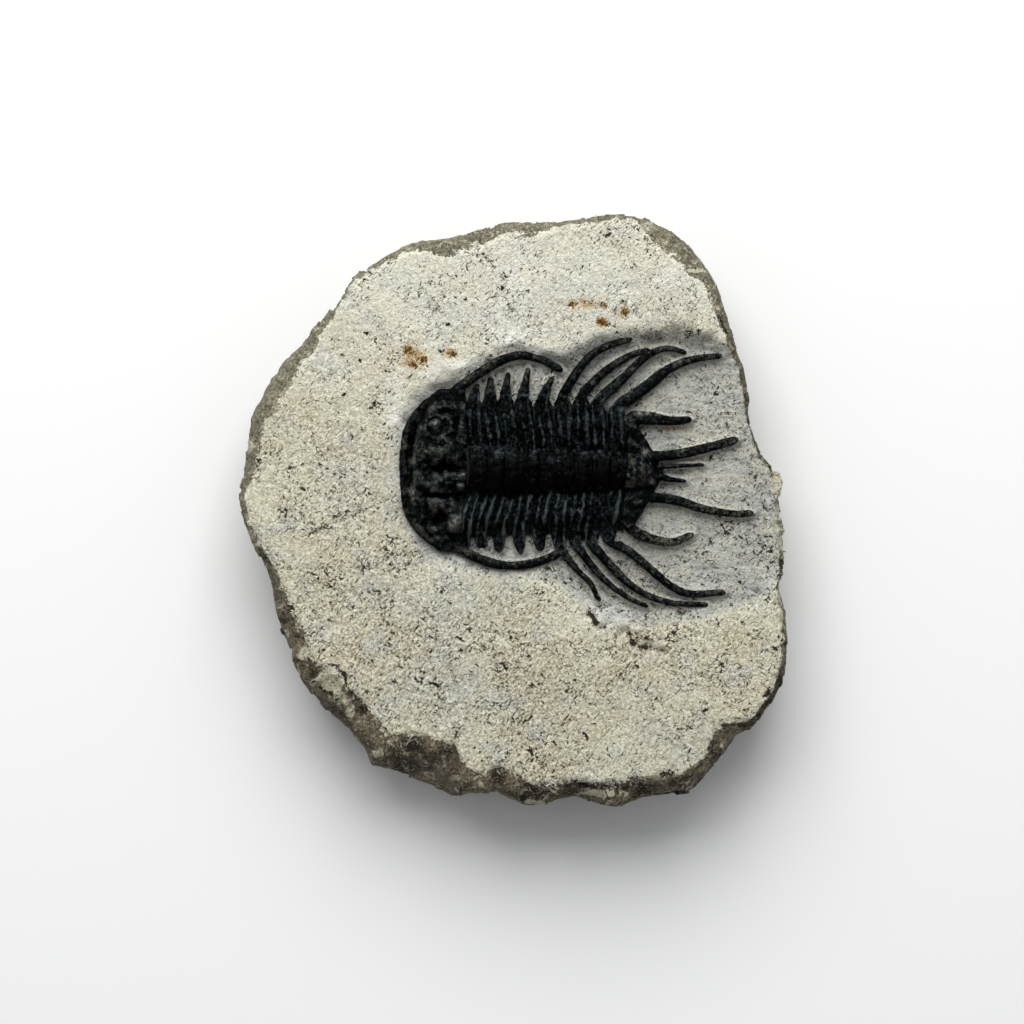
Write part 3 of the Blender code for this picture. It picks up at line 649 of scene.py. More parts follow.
def buildSegment(number, finish):
    look = segmentLook
    name = f"body_segment_{number + 1}"
    tree = treeOf(name)
    axisY = animal["axisY"]
    topA = np.linspace(-0.5, 0.5, look["topPoints"])
    underA = np.linspace(0.5, -0.5, look["underPoints"] + 2)[1:-1]
    a = np.concatenate([topA, underA])
    isTop = np.arange(len(a)) < look["topPoints"]
    turn = np.radians(np.concatenate([np.linspace(205, -25, look["topPoints"]),
                                      np.linspace(-25, -155, look["underPoints"] + 2)[1:-1]]))
    middleX = float(segmentEdge(number + 0.5, axisY))
    ends = (northSpines[number][0][0][1] - axisY, axisY - southSpines[number][0][0][1])

    across = np.linspace(ends[0], -ends[1], look["bodySteps"])
    y = axisY + across
    front = segmentEdge(number, y) + look["gap"]
    back = segmentEdge(number + 1, y) - look["gap"]
    middle, width = (front + back) / 2, back - front
    nudge = 0.04  # mm
    slope = (archHeight(middle, y + nudge) - archHeight(middle, y - nudge)) / (2 * nudge)
    tilt = np.clip(np.arctan(-slope), -1.1, 1.1)
    height = animal["level"] + archHeight(middle, y) - animal["shell"] / 2
    aGrid, acrossGrid = np.meshgrid(a, across)
    relief = segmentRelief(number, aGrid, acrossGrid, width, middle, y)

    # painted light and shade on the shell: near black in the grooves, lighter on the rib tops
    def shownAt(values):
        return 0.26 + 0.62 * smoothStep((values + 0.26) / 0.46)

    rows, crests, chalks, roots = [], [], [], []
    for north, spine in ((True, northSpines[number]), (False, southSpines[number])):
        rootRadius = spine[1]
        centre, along, radius = spineRun(tree, *spine, spineLook["step"], 31 + number)
        fromRoot = np.concatenate([[0], np.cumsum(np.linalg.norm(np.diff(centre, axis=0), axis=1))])
        flare = 1 - smoothStep(fromRoot / look["flareLength"])
        side, up = sliceFrame(-along if north else along)
        square = np.array([1.0, 0.0, 0.0])
        side = side + (square - side) * flare[:, None]
        side /= np.linalg.norm(side, axis=1)[:, None]
        wide = radius + (max(look["flareWidth"], rootRadius) - radius) * flare
        tall = radius * (1 - 0.35 * flare)
        sideways, upwards = fullRound(turn)
        rings = (centre[:, None] + sideways[None, :, None] * (side * wide[:, None])[:, None]
                 + upwards[None, :, None] * (up * tall[:, None])[:, None])
        endRelief = relief[0 if north else -1]
        rings[..., 2] += (0.5 * np.where(isTop, endRelief + 0.2, 0) - 0.26) * flare[:, None]
        roots.append((centre[0], rings[0].copy()))
        facing = (np.cos(turn) * side[:, 1:2] + np.sin(turn) * up[:, 1:2],
                  np.cos(turn) * side[:, 2:3] + np.sin(turn) * up[:, 2:3])
        # painted light: the spine lighter on top and on the north side
        ridge = spineWear(*facing)
        ribbed = shownAt(endRelief) * isTop
        crest = ridge + (ribbed - ridge) * flare[:, None]
        chalk = 0.6 * (fromRoot / fromRoot[-1]) ** 3
        chalk = chalk[:, None] * np.clip(np.sin(turn) + 0.9, 0, 1)[None]
        patches = dustPatches(centre, 91 + number) * (1 - flare)
        chalk = chalk + flankDust(facing[1]) * patches[:, None]
        for store, values in ((rows, rings), (crests, crest), (chalks, chalk)):
            store.append(values[::-1] if north else values)

    for side, end, (seat, _) in zip((1, -1), ends, roots):
        last = height[0 if side > 0 else -1]
        height = height + (seat[2] - last) * smoothStep(1 - (end - side * across) / 2.5)
    up = np.where(isTop, relief + 0.1, -0.5)
    body = np.stack([middle[:, None] + aGrid * width[:, None],
                     y[:, None] + up * np.sin(tilt)[:, None],
                     height[:, None] + up * np.cos(tilt)[:, None]], -1)

    # near each end the ribbon narrows and rounds into its spine
    for side, end, taper, (seat, root) in zip((1, -1), ends, look["taper"], roots):
        fromEnd = end - side * across
        blend = smoothStep(1 - fromEnd / taper)
        shift = (seat[0] - middle) * smoothStep(1 - fromEnd / look["sweep"])
        body[..., 0] += shift[:, None]
        ring = (root - seat)[None] + np.stack([middle + shift, y, height], -1)[:, None]
        body = body + (ring - body) * (blend ** 1.6)[:, None, None]
    rings = np.concatenate([rows[0], body, rows[1]])

    # worn all over, less so on the spines
    points = rings.reshape(-1, 3)
    spineShare = smoothStep((np.abs(points[:, 1] - axisY) - 7.6) / 0.8)
    wear = look["wear"] * (1 - 0.7 * spineShare) * cloud(points, 0.50, 5)
    wear = wear + look["fineWear"] * cloud(points, 0.22, 6)
    points = points + wear[:, None] * np.array([0.6, 0.6, 1.0])
    points[:, 2] = easeUnder(points[:, 2], animal["ceiling"])
    faces = tubeFaces(len(rings), len(a))
    piece = makePiece(f"segment{number + 1}", points, [f[::-1] for f in faces], finish)

    # painted light and shade: the axial ring lighter in patches on the side towards the light and painted
    # black as shade on the other; the side lobes are painted darker on the north and lighter on the south
    # to set how bright each side shows
    lobe = float(axisHalfWidth(middleX))
    spots = flatPoints(body[..., 0], body[..., 1])
    stray = (0.45 * cloud(spots, 1.4, 207) + 0.2 * cloud(spots, 0.5, 208)).reshape(aGrid.shape)
    fromAxis = acrossGrid + stray
    onAxis = 1 - smoothStep((np.abs(fromAxis) - lobe + 0.3) / 0.6)
    shown = shownAt(relief) * isTop
    lightSide = smoothStep((fromAxis + 0.2) / 1.4)
    patches = np.clip(0.55 + 0.9 * cloud(spots, 1.3, 209), 0, 1).reshape(aGrid.shape)
    onRing = shown * 0.72 * lightSide * patches - 0.38 * (1 - lightSide)
    shown = onRing * onAxis + shown * np.where(acrossGrid > 0, 0.62, 1.15) * (1 - onAxis)
    crest = np.concatenate([crests[0], shown, crests[1]]).reshape(-1)
    addMark(piece, "crest", np.clip(crest, -0.4, 1.2))
    chalk = np.concatenate([chalks[0], 0 * shown, chalks[1]]).reshape(-1)
    addMark(piece, "chalk", chalk)
    outward = np.abs(points[:, 1] - axisY) - ends[0]
    addMark(piece, "dust", smoothStep(outward / 4) * look["dust"])
    settle(piece, name)


# the head and tail shields: a modelled top, joined to its spines and remade as one even skin
headLook = {
    "rows": 230, "columns": 120, "voxel": 0.085,
    # x, y from the axis, reach along and across, height, depth of the moat around
    "lobes": [
        (-7.6, 2.2, 1.75, 1.20, 1.05, 0.15), (-10.4, 1.7, 0.95, 1.30, 0.60, 0.10),
        (-8.3, -1.4, 1.30, 1.05, 1.25, 0.30), (-8.7, -2.2, 0.32, 0.32, 0.45, 0.20),
        (-7.6, -4.0, 1.90, 0.80, 0.95, 0.15), (-6.1, -5.6, 0.75, 1.35, 0.80, 0.15),
        (-8.3, 4.9, 0.72, 0.42, 1.0, 0.30), (-8.8, 6.8, 0.95, 0.70, 0.60, 0.15),
        (-5.5, 4.0, 0.75, 1.45, 0.60, 0.20), (-5.3, -0.6, 0.36, 0.36, 1.0, 0.15),
        (-5.65, -1.85, 0.34, 0.34, 1.0, 0.15), (-10.4, 4.6, 0.7, 1.3, 0.35, 0.0),
    ],
    # painted highlights, as pale glints: x, y, size
    "glintAndDustSpots": [(-8.3, 9.75, 0.30), (-8.4, 9.15, 0.30), (-5.3, 4.0, 0.34), (-5.65, 2.75, 0.30),
             (-8.7, 2.35, 0.22), (-10.9, 5.5, 0.35), (-6.1, -0.9, 0.5), (-6.6, -1.7, 0.4),
             (-10.9, 2.2, 0.35)],
    # rings: x, y from the axis, radius along and across, height
    "rings": [(-8.05, 4.75, 1.45, 1.10, 0.34), (-8.7, -2.2, 0.62, 0.60, 0.15)],
    # furrows: x, y from the axis, reach along and across, depth
    "dents": [(-7.4, 0.25, 2.3, 0.50, 1.5), (-8.3, -5.5, 1.15, 0.55, 1.5),
              (-8.1, -2.95, 1.8, 0.24, 0.9), (-5.6, -2.9, 0.75, 1.1, 0.9),
              (-7.2, 6.4, 0.95, 0.45, 0.9), (-5.4, 1.3, 0.6, 0.5, 0.7), (-9.4, -4.2, 0.3, 1.0, 0.5),
              (-6.6, -7.0, 1.3, 0.3, 0.6), (-6.3, 5.2, 0.22, 0.8, 0.6)],
    # the curled ridge round the south cheek
    "curl": [(-10.3, 3.7), (-11.0, 2.6), (-11.0, 1.2), (-10.7, -0.4), (-10.0, -1.8), (-9.0, -2.8),
             (-7.7, -3.4)],
    "halfSpan": 8.95, "sideReach": 9.2,
    "rise": 1.75, "boss": 0.5, "curlHeight": 0.60,
    "borderRoll": 0.30, "borderFurrow": 0.5, "borderPebbles": 0.10,
}


def headTop(x, y):
    look = headLook
    v = y - animal["axisY"]
    fromFront = x - headFront(y)
    fromSide = look["sideReach"] - np.abs(v)
    inward = np.minimum(1.3 * fromFront, fromSide)
    height = animal["edgeHeight"] + look["rise"] * smoothStep((inward - 0.5) / 3.0)
    height += look["boss"] * hill(x, v, (-7.2, 0), (2.4, 2.6))
    flat = flatPoints(x, y)
    bentX = x + (0.30 * cloud(flat, 1.5, 304) + 0.16 * cloud(flat, 0.6, 305)).reshape(np.shape(x))
    bentV = v + (0.30 * cloud(flat, 1.5, 306) + 0.16 * cloud(flat, 0.6, 307)).reshape(np.shape(x))
    for cx, cv, rx, rv, tall, moat in look["lobes"]:
        away = np.hypot((bentX - cx) / rx, (bentV - cv) / rv)
        height += tall * np.exp(-away ** 2) - moat * np.exp(-((away - 1.4) / 0.28) ** 2)
    for cx, cv, rx, rv, tall in look["rings"]:
        away = np.hypot((bentX - cx) / rx, (bentV - cv) / rv)
        height += tall * np.exp(-((away - 1) * rx / 0.26) ** 2)
    for cx, cv, rx, rv, deep in look["dents"]:
        height -= deep * hill(bentX, bentV, (cx, cv), (rx, rv))
    curl = lineDistance(look["curl"], bentX, bentV + animal["axisY"])
    height += look["curlHeight"] * np.exp(-(curl / 0.50) ** 2)
    # the rolled border, with a furrow behind it and a row of pebbles on its south half
    rim = np.minimum(fromFront, fromSide)
    uneven = (0.7 + 0.9 * cloud(flat, 2.2, 303)).reshape(np.shape(x))
    roll = look["borderRoll"] * np.exp(-((rim - 0.5) / 0.36) ** 2)
    height += uneven * (roll - look["borderFurrow"] * np.exp(-((rim - 1.2) / 0.34) ** 2))
    walk = np.arctan2(v, -(x + 4.5))
    pebbles = look["borderPebbles"] * np.exp(-((rim - 0.35) / 0.3) ** 2) * np.sin(walk * 58)
    height += pebbles * smoothStep(-0.6 - walk)
    rough = 0.20 * cloud(flat, 1.1, 301) + 0.12 * cloud(flat, 0.5, 302) + 0.07 * cloud(flat, 0.26, 308)
    return height + rough.reshape(np.shape(x)) * smoothStep(inward / 1.2)


def crestOf(heightOf, points, reach=0.55):
    # how high a spot stands above its neighbours: low in a hollow, high on a crest; the finish paints the
    # hollows black as shade and the crests lighter as a painted highlight
    x, y = points[:, 0], points[:, 1]
    turns = np.arange(0, 6.2, 1.05)
    around = [heightOf(x + reach * math.cos(t), y + reach * math.sin(t)) for t in turns]
    return np.clip(0.27 + 1.15 * (heightOf(x, y) - np.mean(around, axis=0)), 0, 0.80)


tailLook = {
    "rows": 150, "columns": 60, "voxel": 0.085,
    "low": -6.4, "high": 6.2,  # how far it spans from the axis
    "rings": (13.3, 14.3, 15.2),  # x of each ring of the axis
    "ridges": ((0.55, 2.4), (-0.55, -2.4), (0.12, 4.6), (-0.12, -4.6)),  # slope and start of each
    "ringHeight": 0.22, "ridgeHeight": 0.24, "furrow": 0.25,
    # pale spots: painted highlights, and dust along the first spine's top edge: x, y, size
    "glintAndDustSpots": [(14.6, 6.6, 0.35), (13.6, 1.2, 0.3), (15.3, 3.4, 0.3), (13.9, 10.9, 0.35),
             (14.9, 11.0, 0.35), (16.0, 10.9, 0.3), (19.8, -2.6, 0.35)],
}


def tailTop(x, y):
    look = tailLook
    v = y - animal["axisY"]
    back = tailBack(y)
    rise = smoothStep((back - x) / 3.2)
    height = animal["edgeHeight"] + (archHeight(x, y) - animal["edgeHeight"]) * rise
    for ring in look["rings"]:
        height += look["ringHeight"] * np.exp(-((x - ring) / 0.28) ** 2) * np.exp(-(v / 2.0) ** 2)
    for slope, start in look["ridges"]:
        ridge = look["ridgeHeight"] * np.exp(-((v - start - slope * (14 - x)) / 0.42) ** 2)
        height += ridge * smoothStep((np.abs(v) - 1.5) / 1)
    height -= look["furrow"] * np.exp(-((np.abs(v) - 2.2) / 0.35) ** 2)
    flat = flatPoints(x, y)
    return height + (0.20 * cloud(flat, 1.1, 311) + 0.14 * cloud(flat, 0.5, 312)).reshape(np.shape(x))


def shieldShell(name, front, back, low, high, rows, columns, topOf, finish):
    v = np.linspace(low, high, rows)
    t = np.linspace(0, 1, columns)
    y = np.repeat((animal["axisY"] + v)[:, None], columns, 1)
    x = front(y) + (back(y) - front(y)) * t[None]
    fromEnds = np.minimum(t, 1 - t)[None] * 8
    fromSides = np.minimum(v - low, high - v)[:, None]
    edge = np.minimum(fromEnds, fromSides)
    top = animal["level"] + topOf(x, y)
    under = animal["level"] - 0.1 + 0 * top
    top = top - 0.25 * np.exp(-(edge / 0.12) ** 2)
    points = np.concatenate([np.stack([x, y, z], -1).reshape(-1, 3) for z in (top, under)])
    half = rows * columns
    faces = gridFaces(rows, columns)
    faces += [tuple(k + half for k in reversed(f)) for f in faces]
    ring = (list(range(columns)) + [r * columns + columns - 1 for r in range(1, rows)]
            + [(rows - 1) * columns + k for k in range(columns - 2, -1, -1)]
            + [r * columns for r in range(rows - 2, 0, -1)])
    faces += [(a, a + half, b + half, b) for a, b in zip(ring, ring[1:] + ring[:1])]
    return makePiece(name, points, faces, finish)


def spinePiece(tree, spine, seed, finish):
    centre, along, radius = spineRun(tree, *spine, spineLook["step"], seed)
    side, up = sliceFrame(along)
    turn = np.radians(np.arange(0, 360, 15))
    sideways, upwards = fullRound(turn)
    rings = (centre[:, None] + radius[:, None, None]
             * (sideways[None, :, None] * side[:, None] + upwards[None, :, None] * up[:, None]))
    return makePiece("spine", rings.reshape(-1, 3), tubeFaces(len(rings), len(turn)), finish)


skinLook = {
    "shieldHalf": 8.9, "shieldBack": 16.2,  # past these the skin is spine
    "wear": 0.06, "fineWear": 0.035, "pebbles": 0.12,
    "spineWear": 0.3,  # spines get this share of the wear
    "easing": 0.5, "easingRounds": 2,
}


def remade(pieces, name, voxel, seed, node, finish, dustOf, heightOf, glintAndDustSpots):
    # joins closed pieces into one skin, then roughens it
    look = skinLook
    with bpy.context.temp_override(active_object=pieces[0], selected_editable_objects=pieces):
        bpy.ops.object.join()
    joined = pieces[0]
    joined.name = name
    remesh = joined.modifiers.new("Skin", "REMESH")
    remesh.mode = "VOXEL"
    remesh.voxel_size = voxel * mm
    smooth = joined.modifiers.new("Ease", "SMOOTH")
    smooth.iterations = look["easingRounds"]
    smooth.factor = look["easing"]
    evaluated = joined.evaluated_get(bpy.context.evaluated_depsgraph_get())
    skin = bpy.data.meshes.new_from_object(evaluated)
    joined.modifiers.clear()
    joined.data = skin
    if not skin.materials:
        skin.materials.append(finish)
    points = vectorsOf(skin, "co") / mm
    normals = vectorsOf(skin, "normal")
    fromAxis = np.abs(points[:, 1] - animal["axisY"])
    onShield = (fromAxis < look["shieldHalf"]) & (points[:, 0] < look["shieldBack"])
    calm = np.where(onShield, 1, look["spineWear"])
    wear = look["wear"] * calm * cloud(points, 0.55, seed)
    wear = wear + look["fineWear"] * cloud(points, 0.24, seed + 1)
    pebbles = np.clip(cloud(points * [1, 1, 0.4], 0.42, seed + 2) - 0.35, 0, 1)
    pebbles = pebbles * look["pebbles"] * calm
    points = points + (wear + pebbles)[:, None] * normals
    points[:, 2] = easeUnder(points[:, 2], animal["ceiling"])
    skin.vertices.foreach_set("co", (points * mm).ravel())
    skin.shade_smooth()
    skin.update()

    x, y = points[:, 0], points[:, 1]
    addMark(joined, "dust", dustOf(points))
    flank = np.where(onShield, 0, flankDust(normals[:, 2]) * dustPatches(points, seed + 3))
    dustySpine = 1.8 * hill(x, y, (17.8, -3.1), (3.4, 1.5))
    addMark(joined, "chalk", 0.6 * smoothStep((x - 17.5) / 8) + flank + dustySpine)
    # pale spots: painted highlights, and on the tail some dust
    addMark(joined, "glintAndDust", sum(hill(x, y, place, (r, r)) for *place, r in glintAndDustSpots))
    # painted light on the spines: lighter on top and on the north side, where the light comes from
    onSpine = spineWear(normals[:, 1], normals[:, 2])
    # painted light and shade on the shields: crests lighter, hollows black
    addMark(joined, "crest", np.where(onShield, crestOf(heightOf, points), onSpine))
    settle(joined, node)


def buildHead(finish):
    look = headLook
    tree = treeOf("head_shield")
    shell = shieldShell("headShell", headFront, lambda y: segmentEdge(0, y) - 0.03, -look["halfSpan"],
                        look["halfSpan"], look["rows"], look["columns"], headTop, finish)
    pieces = [shell] + [spinePiece(tree, spine, 41, finish) for spine in cheekSpines]

    def dustOf(points):
        x, y = points[:, 0], points[:, 1]
        rim = np.minimum(x - headFront(y), look["sideReach"] - np.abs(y - animal["axisY"]))
        onSpine = smoothStep((np.abs(y - animal["axisY"]) - 8.2) / 1.5)
        return np.clip(0.5 * np.exp(-(rim / 1.6) ** 2) + 0.35 * onSpine, 0, 1)

    remade(pieces, "headShield", look["voxel"], 51, "head_shield", finish, dustOf, headTop,
           look["glintAndDustSpots"])


def buildTail(finish):
    look = tailLook
    tree = treeOf("tail_shield")
    shell = shieldShell("tailShell", lambda y: segmentEdge(animal["segments"], y) + 0.03, tailBack,
                        look["low"], look["high"], look["rows"], look["columns"], tailTop, finish)
    pieces = [shell] + [spinePiece(tree, spine, 43 + k, finish) for k, spine in enumerate(tailSpines)]

    def dustOf(points):
        return 0.15 + 0.35 * smoothStep((points[:, 0] - 14) / 5)

    remade(pieces, "tailShield", look["voxel"], 61, "tail_shield", finish, dustOf, tailTop,
           look["glintAndDustSpots"])


buildHead(shieldDusty)
for number in range(animal["segments"]):
    buildSegment(number, shellBlack)
buildTail(shieldDusty)
print("fossil made")

# the stone: a fine square grid bent to the block's outline, then rows down its broken sides
stoneLook = {
    "side": 262, "sideRows": 24,
    "halfSize": (30.40, 32.80),
    "faceLevel": 14.3, "floorLevel": 12.8,
    "wall": (3.4, 2.7),  # width of the hollow's wall, at the head and further back
    # depths of the breaks, pits and strokes of the face
    "ledgeDepth": 0.55, "pitDepth": 0.20, "strokeDepth": 0.035, "dimpleDepth": 0.10, "crackDepth": 0.09,
    # flakes and crumbs of the broken sides
    "flake": 1.25, "smallFlake": 0.60, "crumb": 0.18, "smallCrumb": 0.10,
    # width of the broken slope by bearing from +x, anticlockwise
    "slope": [(0, 0.3), (20, 0.3), (34, 0.4), (41, 1.1), (50, 1.0), (57, 1.9), (62, 1.7), (67, 0.3),
              (80, 0.3), (86, 1.1), (95, 1.2), (105, 1.6), (111, 0.5), (135, 0.4), (141, 1.1),
              (152, 1.8), (162, 1.8), (171, 1.0), (178, 0.4), (190, 0.4), (198, 1.1), (208, 2.0),
              (216, 2.2), (221, 3.8), (230, 3.0), (239, 2.8), (249, 4.6), (256, 4.4), (262, 2.0),
              (272, 2.6), (282, 1.6), (290, 2.9), (298, 2.0), (306, 1.3), (313, 2.2), (320, 0.6),
              (340, 0.4)],
    # how olive and smooth the broken side is, by bearing
    "weathered": [(0, 0.3), (30, 0.4), (60, 0.8), (100, 0.8), (150, 1.0), (190, 0.9), (205, 0.2),
                  (215, 0), (320, 0), (345, 0.3)],
    # the hollow cut around the fossil, open to the east
    "hollow": [(-13.6, 4.6), (-13.3, 9.6), (-11.4, 13.2), (-7.9, 14.9), (-3.5, 17.9), (1.4, 19.0),
               (5.3, 18.3), (8.0, 19.5), (12.4, 20.6), (18.5, 20.7), (23.1, 19.6), (28.5, 16.8),
               (34.0, 4.6), (34.0, -5.3), (26.7, -10.8), (20.7, -12.6), (15.2, -13.4), (9.7, -12.6),
               (6.6, -10.4), (4.4, -8.2), (0.9, -7.9), (-3.5, -7.3), (-7.4, -5.9), (-10.7, -4.9),
               (-12.8, -0.9)],
    # spots on the face: x, y, reach both ways, strength
    "rust": [(-10.7, 17.1, 2.2, 2.0, 0.66), (-11.4, 17.9, 0.5, 0.4, 0.5), (-9.7, 16.6, 0.5, 0.5, 0.5),
             (-10.9, 16.1, 0.5, 0.4, 0.5), (-6.6, 17.4, 1.0, 0.55, 0.95), (8.2, 22.9, 2.6, 0.8, 0.60),
             (6.6, 22.8, 0.4, 0.35, 0.8), (10.1, 22.7, 0.45, 0.30, 0.9),
             (11.2, 22.0, 0.40, 0.30, 0.9), (12.4, 22.0, 0.55, 0.55, 1.2),
             (9.8, 20.9, 0.55, 0.45, 1.0), (10.2, 20.8, 1.0, 0.7, 0.6), (17.6, 9.2, 1.4, 0.30, 0.75)],
    "grime": [(-16.0, 19.7, 0.3, 0.3, 1), (-18.4, 12.9, 0.3, 0.25, 1), (-7.0, 20.6, 0.35, 0.3, 1),
              (-7.9, 17.6, 0.3, 0.3, 0.9), (-16.7, 16.7, 0.25, 0.3, 0.9),
              (17.0, -28.8, 1.3, 0.6, 0.8), (14.5, -14.8, 1.4, 0.5, 0.7),
              (-6.8, -10.0, 0.35, 0.4, 0.6)],
    # cream chips on the broken side
    "pale": [(-23.0, -15.6, 0.8, 0.8, 1.3), (-20.1, -18.4, 1.1, 1.2, 1.4),
             (-19.0, -20.4, 0.5, 0.9, 1.3), (-24.9, -13.4, 0.45, 0.5, 1.3),
             (-21.9, -18.9, 0.5, 0.35, 1.1), (-13.0, -28.0, 0.5, 0.4, 1.1),
             (-6.2, -29.4, 0.8, 0.4, 1.0), (4.6, -30.4, 0.7, 0.35, 1.0),
             (-17.9, -22.0, 0.5, 1.2, 1.2), (-15.0, -26.7, 0.8, 0.5, 1.3),
             (-11.2, -28.5, 0.9, 0.6, 1.3), (9.9, -31.0, 3.2, 0.35, 1.3), (2.5, -32.2, 1.2, 0.3, 1.1),
             (29.6, 1.0, 1.1, 8.0, 0.85), (29.5, -11.3, 0.25, 2.6, 1.0), (-29.0, 7.5, 0.5, 1.2, 1.0),
             (20.5, 26.5, 1.3, 0.3, 1.0)],
    # drifts of colour on the face
    "warm": [(9.0, -15.5, 8.0, 4.0, 0.7), (-13.5, 18.0, 5.0, 6.0, 0.6), (-20.0, -8.0, 4.0, 6.0, 0.5),
             (20.0, -21.0, 6.0, 4.0, 0.5), (-3.0, 26.0, 7.0, 2.5, 0.4)],
    "cool": [(-7.5, -9.5, 7.5, 4.0, 0.9), (-7.0, -19.5, 7.0, 4.0, 0.8), (9.0, 25.0, 6.0, 3.0, 0.7),
             (17.0, -26.0, 6.0, 2.5, 0.6), (-18.0, 4.0, 3.5, 5.0, 0.5), (0.0, 22.0, 5.0, 2.0, 0.6)],
    # scraped nearly white beside the fossil
    "scraped": [(10.8, -10.6, 4.0, 1.8, 0.75), (-5.0, 15.6, 5.0, 1.3, 0.7),
                (-12.8, 10.5, 1.3, 3.2, 0.6), (2.0, 19.0, 4.0, 1.2, 0.6), (-6.0, -5.8, 3.0, 1.0, 0.4)],
    # dark seams between the flakes of the broken side
    "seams": [[(-23.0, -15.0), (-22.0, -17.2), (-21.6, -19.0), (-19.8, -20.2), (-17.9, -22.8)],
              [(-21.6, -17.6), (-20.7, -16.7), (-18.9, -16.9), (-18.2, -18.9), (-17.0, -21.0),
               (-15.6, -23.4)],
              [(-13.6, -27.0), (-11.5, -27.6), (-8.6, -28.4), (-7.0, -30.2)],
              [(6.9, -29.6), (9.6, -30.4), (13.0, -30.2)], [(21.2, 24.2), (22.6, 21.8), (23.6, 19.6)]],
    "crack": [(-23.3, -2.8), (-18.9, -0.9), (-16.3, 0.2), (-12.9, 1.7)],
    "ledge": [(8.5, -11.2), (9.6, -12.6), (10.6, -12.3), (11.4, -13.6), (12.6, -13.0), (13.4, -14.3),
              (14.3, -13.4), (15.2, -14.9), (16.6, -15.4)],
}


def outlineByBearing(tree, bearings):
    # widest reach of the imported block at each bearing
    found = []
    for degrees in bearings:
        c, s = math.cos(math.radians(degrees)), math.sin(math.radians(degrees))
        reach = 0
        for level in np.arange(4, 14, 0.8):
            hit = tree.ray_cast(Vector((60 * c, 60 * s, float(level))), Vector((-c, -s, 0)))[0]
            reach = max(reach, math.hypot(hit.x, hit.y) if hit else 0)
        found.append(reach)
    return np.array(found)


# the core of stone inside the animal
coreLook = {
    "headHalf": 8.8, "headBack": -5,
    "tailHalf": 6.3, "tailFront": 12.2, "tailTopFront": 12.4,
    "depth": 1.15,  # below the top of the shell
    "ridgeStep": 0.25,  # mm between two measures of the walls under the spines
}


def bodyInset(x, y):
    # how far inside the animal's plan a point lies, spines apart
    look = coreLook
    v = np.abs(y - animal["axisY"])
    head = np.minimum(x - headFront(y), look["headHalf"] - v)
    side = np.where(x < look["headBack"], head, np.minimum(halfWidth(x) - v, x - headFront(y)))
    tail = np.minimum(tailBack(y) - x, look["tailHalf"] - v)
    return np.where(x > look["tailFront"], tail, side)


def coreTop(x, y):
    look = coreLook
    top = np.where(x > look["tailTopFront"], tailTop(x, y), archHeight(x, y))
    top = np.where(x < look["headBack"], headTop(x, y), top)
    return animal["level"] + top - look["depth"]


def stoneHeight(x, y):
    look = stoneLook
    flat = flatPoints(x, y)
    face = (look["faceLevel"] + 0.015 * (y - animal["axisY"]) + 0.006 * x - 0.0006 * (x * x + y * y)
            + 0.5 * hill(x, y, (15, 25), (9, 6)) + 0.35 * hill(x, y, (8, -17), (12, 5))
            - 0.4 * hill(x, y, (27, -4), (5, 12)))
    wander = 0.60 * cloud(flat, 2.6, 3) + 0.40 * cloud(flat, 0.9, 4)
    depth = insideDistance(look["hollow"], x, y)
    inHollow = smoothStep((depth + wander) / np.interp(x, [-6, 4], look["wall"]))
    floor = look["floorLevel"] - 0.03 * np.clip(x - 17, 0, 12) + 0.10 * cloud(flat, 3.5, 8)
    face = face + 0.13 * cloud(flat, 5.5, 1) + 0.07 * cloud(flat, 1.9, 2)
    height = face + (floor - face) * inHollow
    ledge = lineDistance(look["ledge"], x, y)
    height -= (look["ledgeDepth"] * np.exp(-(ledge / 0.50) ** 2)
               * np.clip(0.4 + 1.3 * cloud(flat, 0.8, 9), 0, 1))
    height += 0.07 * cloud(flat * [0.28, 1.3, 1.0], 0.55, 15) * inHollow
    # pits and strokes left by the pen
    away = np.clip(-bodyInset(x, y) / 3, 0, 1)
    coarse = np.clip(cloud(flat, 0.62, 12) - 0.25, 0, 1)
    fine = cloud(flat * [1.0, 1.6, 1.0], 0.34, 13)
    height -= (look["pitDepth"] * coarse + look["strokeDepth"] * fine) * (0.45 + 0.55 * away)
    height -= look["dimpleDepth"] * np.clip(cloud(flat, 1.3, 14) - 0.5, 0, 1)
    height -= look["crackDepth"] * np.exp(-(lineDistance(look["crack"], x, y) / 0.16) ** 2)
    return height


def spineRidges(x, y, height):
    # low walls of stone left under the spines, and the core under the shell
    everySpine = [(f"body_segment_{k + 1}", s) for k, s in enumerate(northSpines)]
    everySpine += [(f"body_segment_{k + 1}", s) for k, s in enumerate(southSpines)]
    everySpine += [("head_shield", s) for s in cheekSpines] + [("tail_shield", s) for s in tailSpines]
    trees = {name: treeOf(name) for name in {n for n, _ in everySpine}}
    for name, spine in everySpine:
        centre, _, radius = spineRun(trees[name], *spine, coreLook["ridgeStep"], 31)
        low, high = centre.min(0) - 1, centre.max(0) + 1
        near = (x > low[0]) & (x < high[0]) & (y > low[1]) & (y < high[1])
        if not near.any():
            continue
        spots = np.hypot(x[near][:, None] - centre[None, :, 0], y[near][:, None] - centre[None, :, 1])
        pick = spots.argmin(1)
        gap = spots.min(1)
        r = radius[pick]
        share = pick / (len(centre) - 1)
        seat = centre[pick, 2] - 0.50 * r
        held = smoothStep((share - 0.25) / 0.35)
        ridge = seat * held + height[near] * (1 - held)
        wall = 1 - smoothStep((gap - 0.85 * r) / 0.55)
        height[near] = np.maximum(height[near], height[near] + (ridge - height[near]) * wall)
    inset = bodyInset(x, y)
    core = coreTop(x, y)
    return np.where(inset > 0.9, np.maximum(height, np.maximum(core, animal["level"] + 0.1)), height)


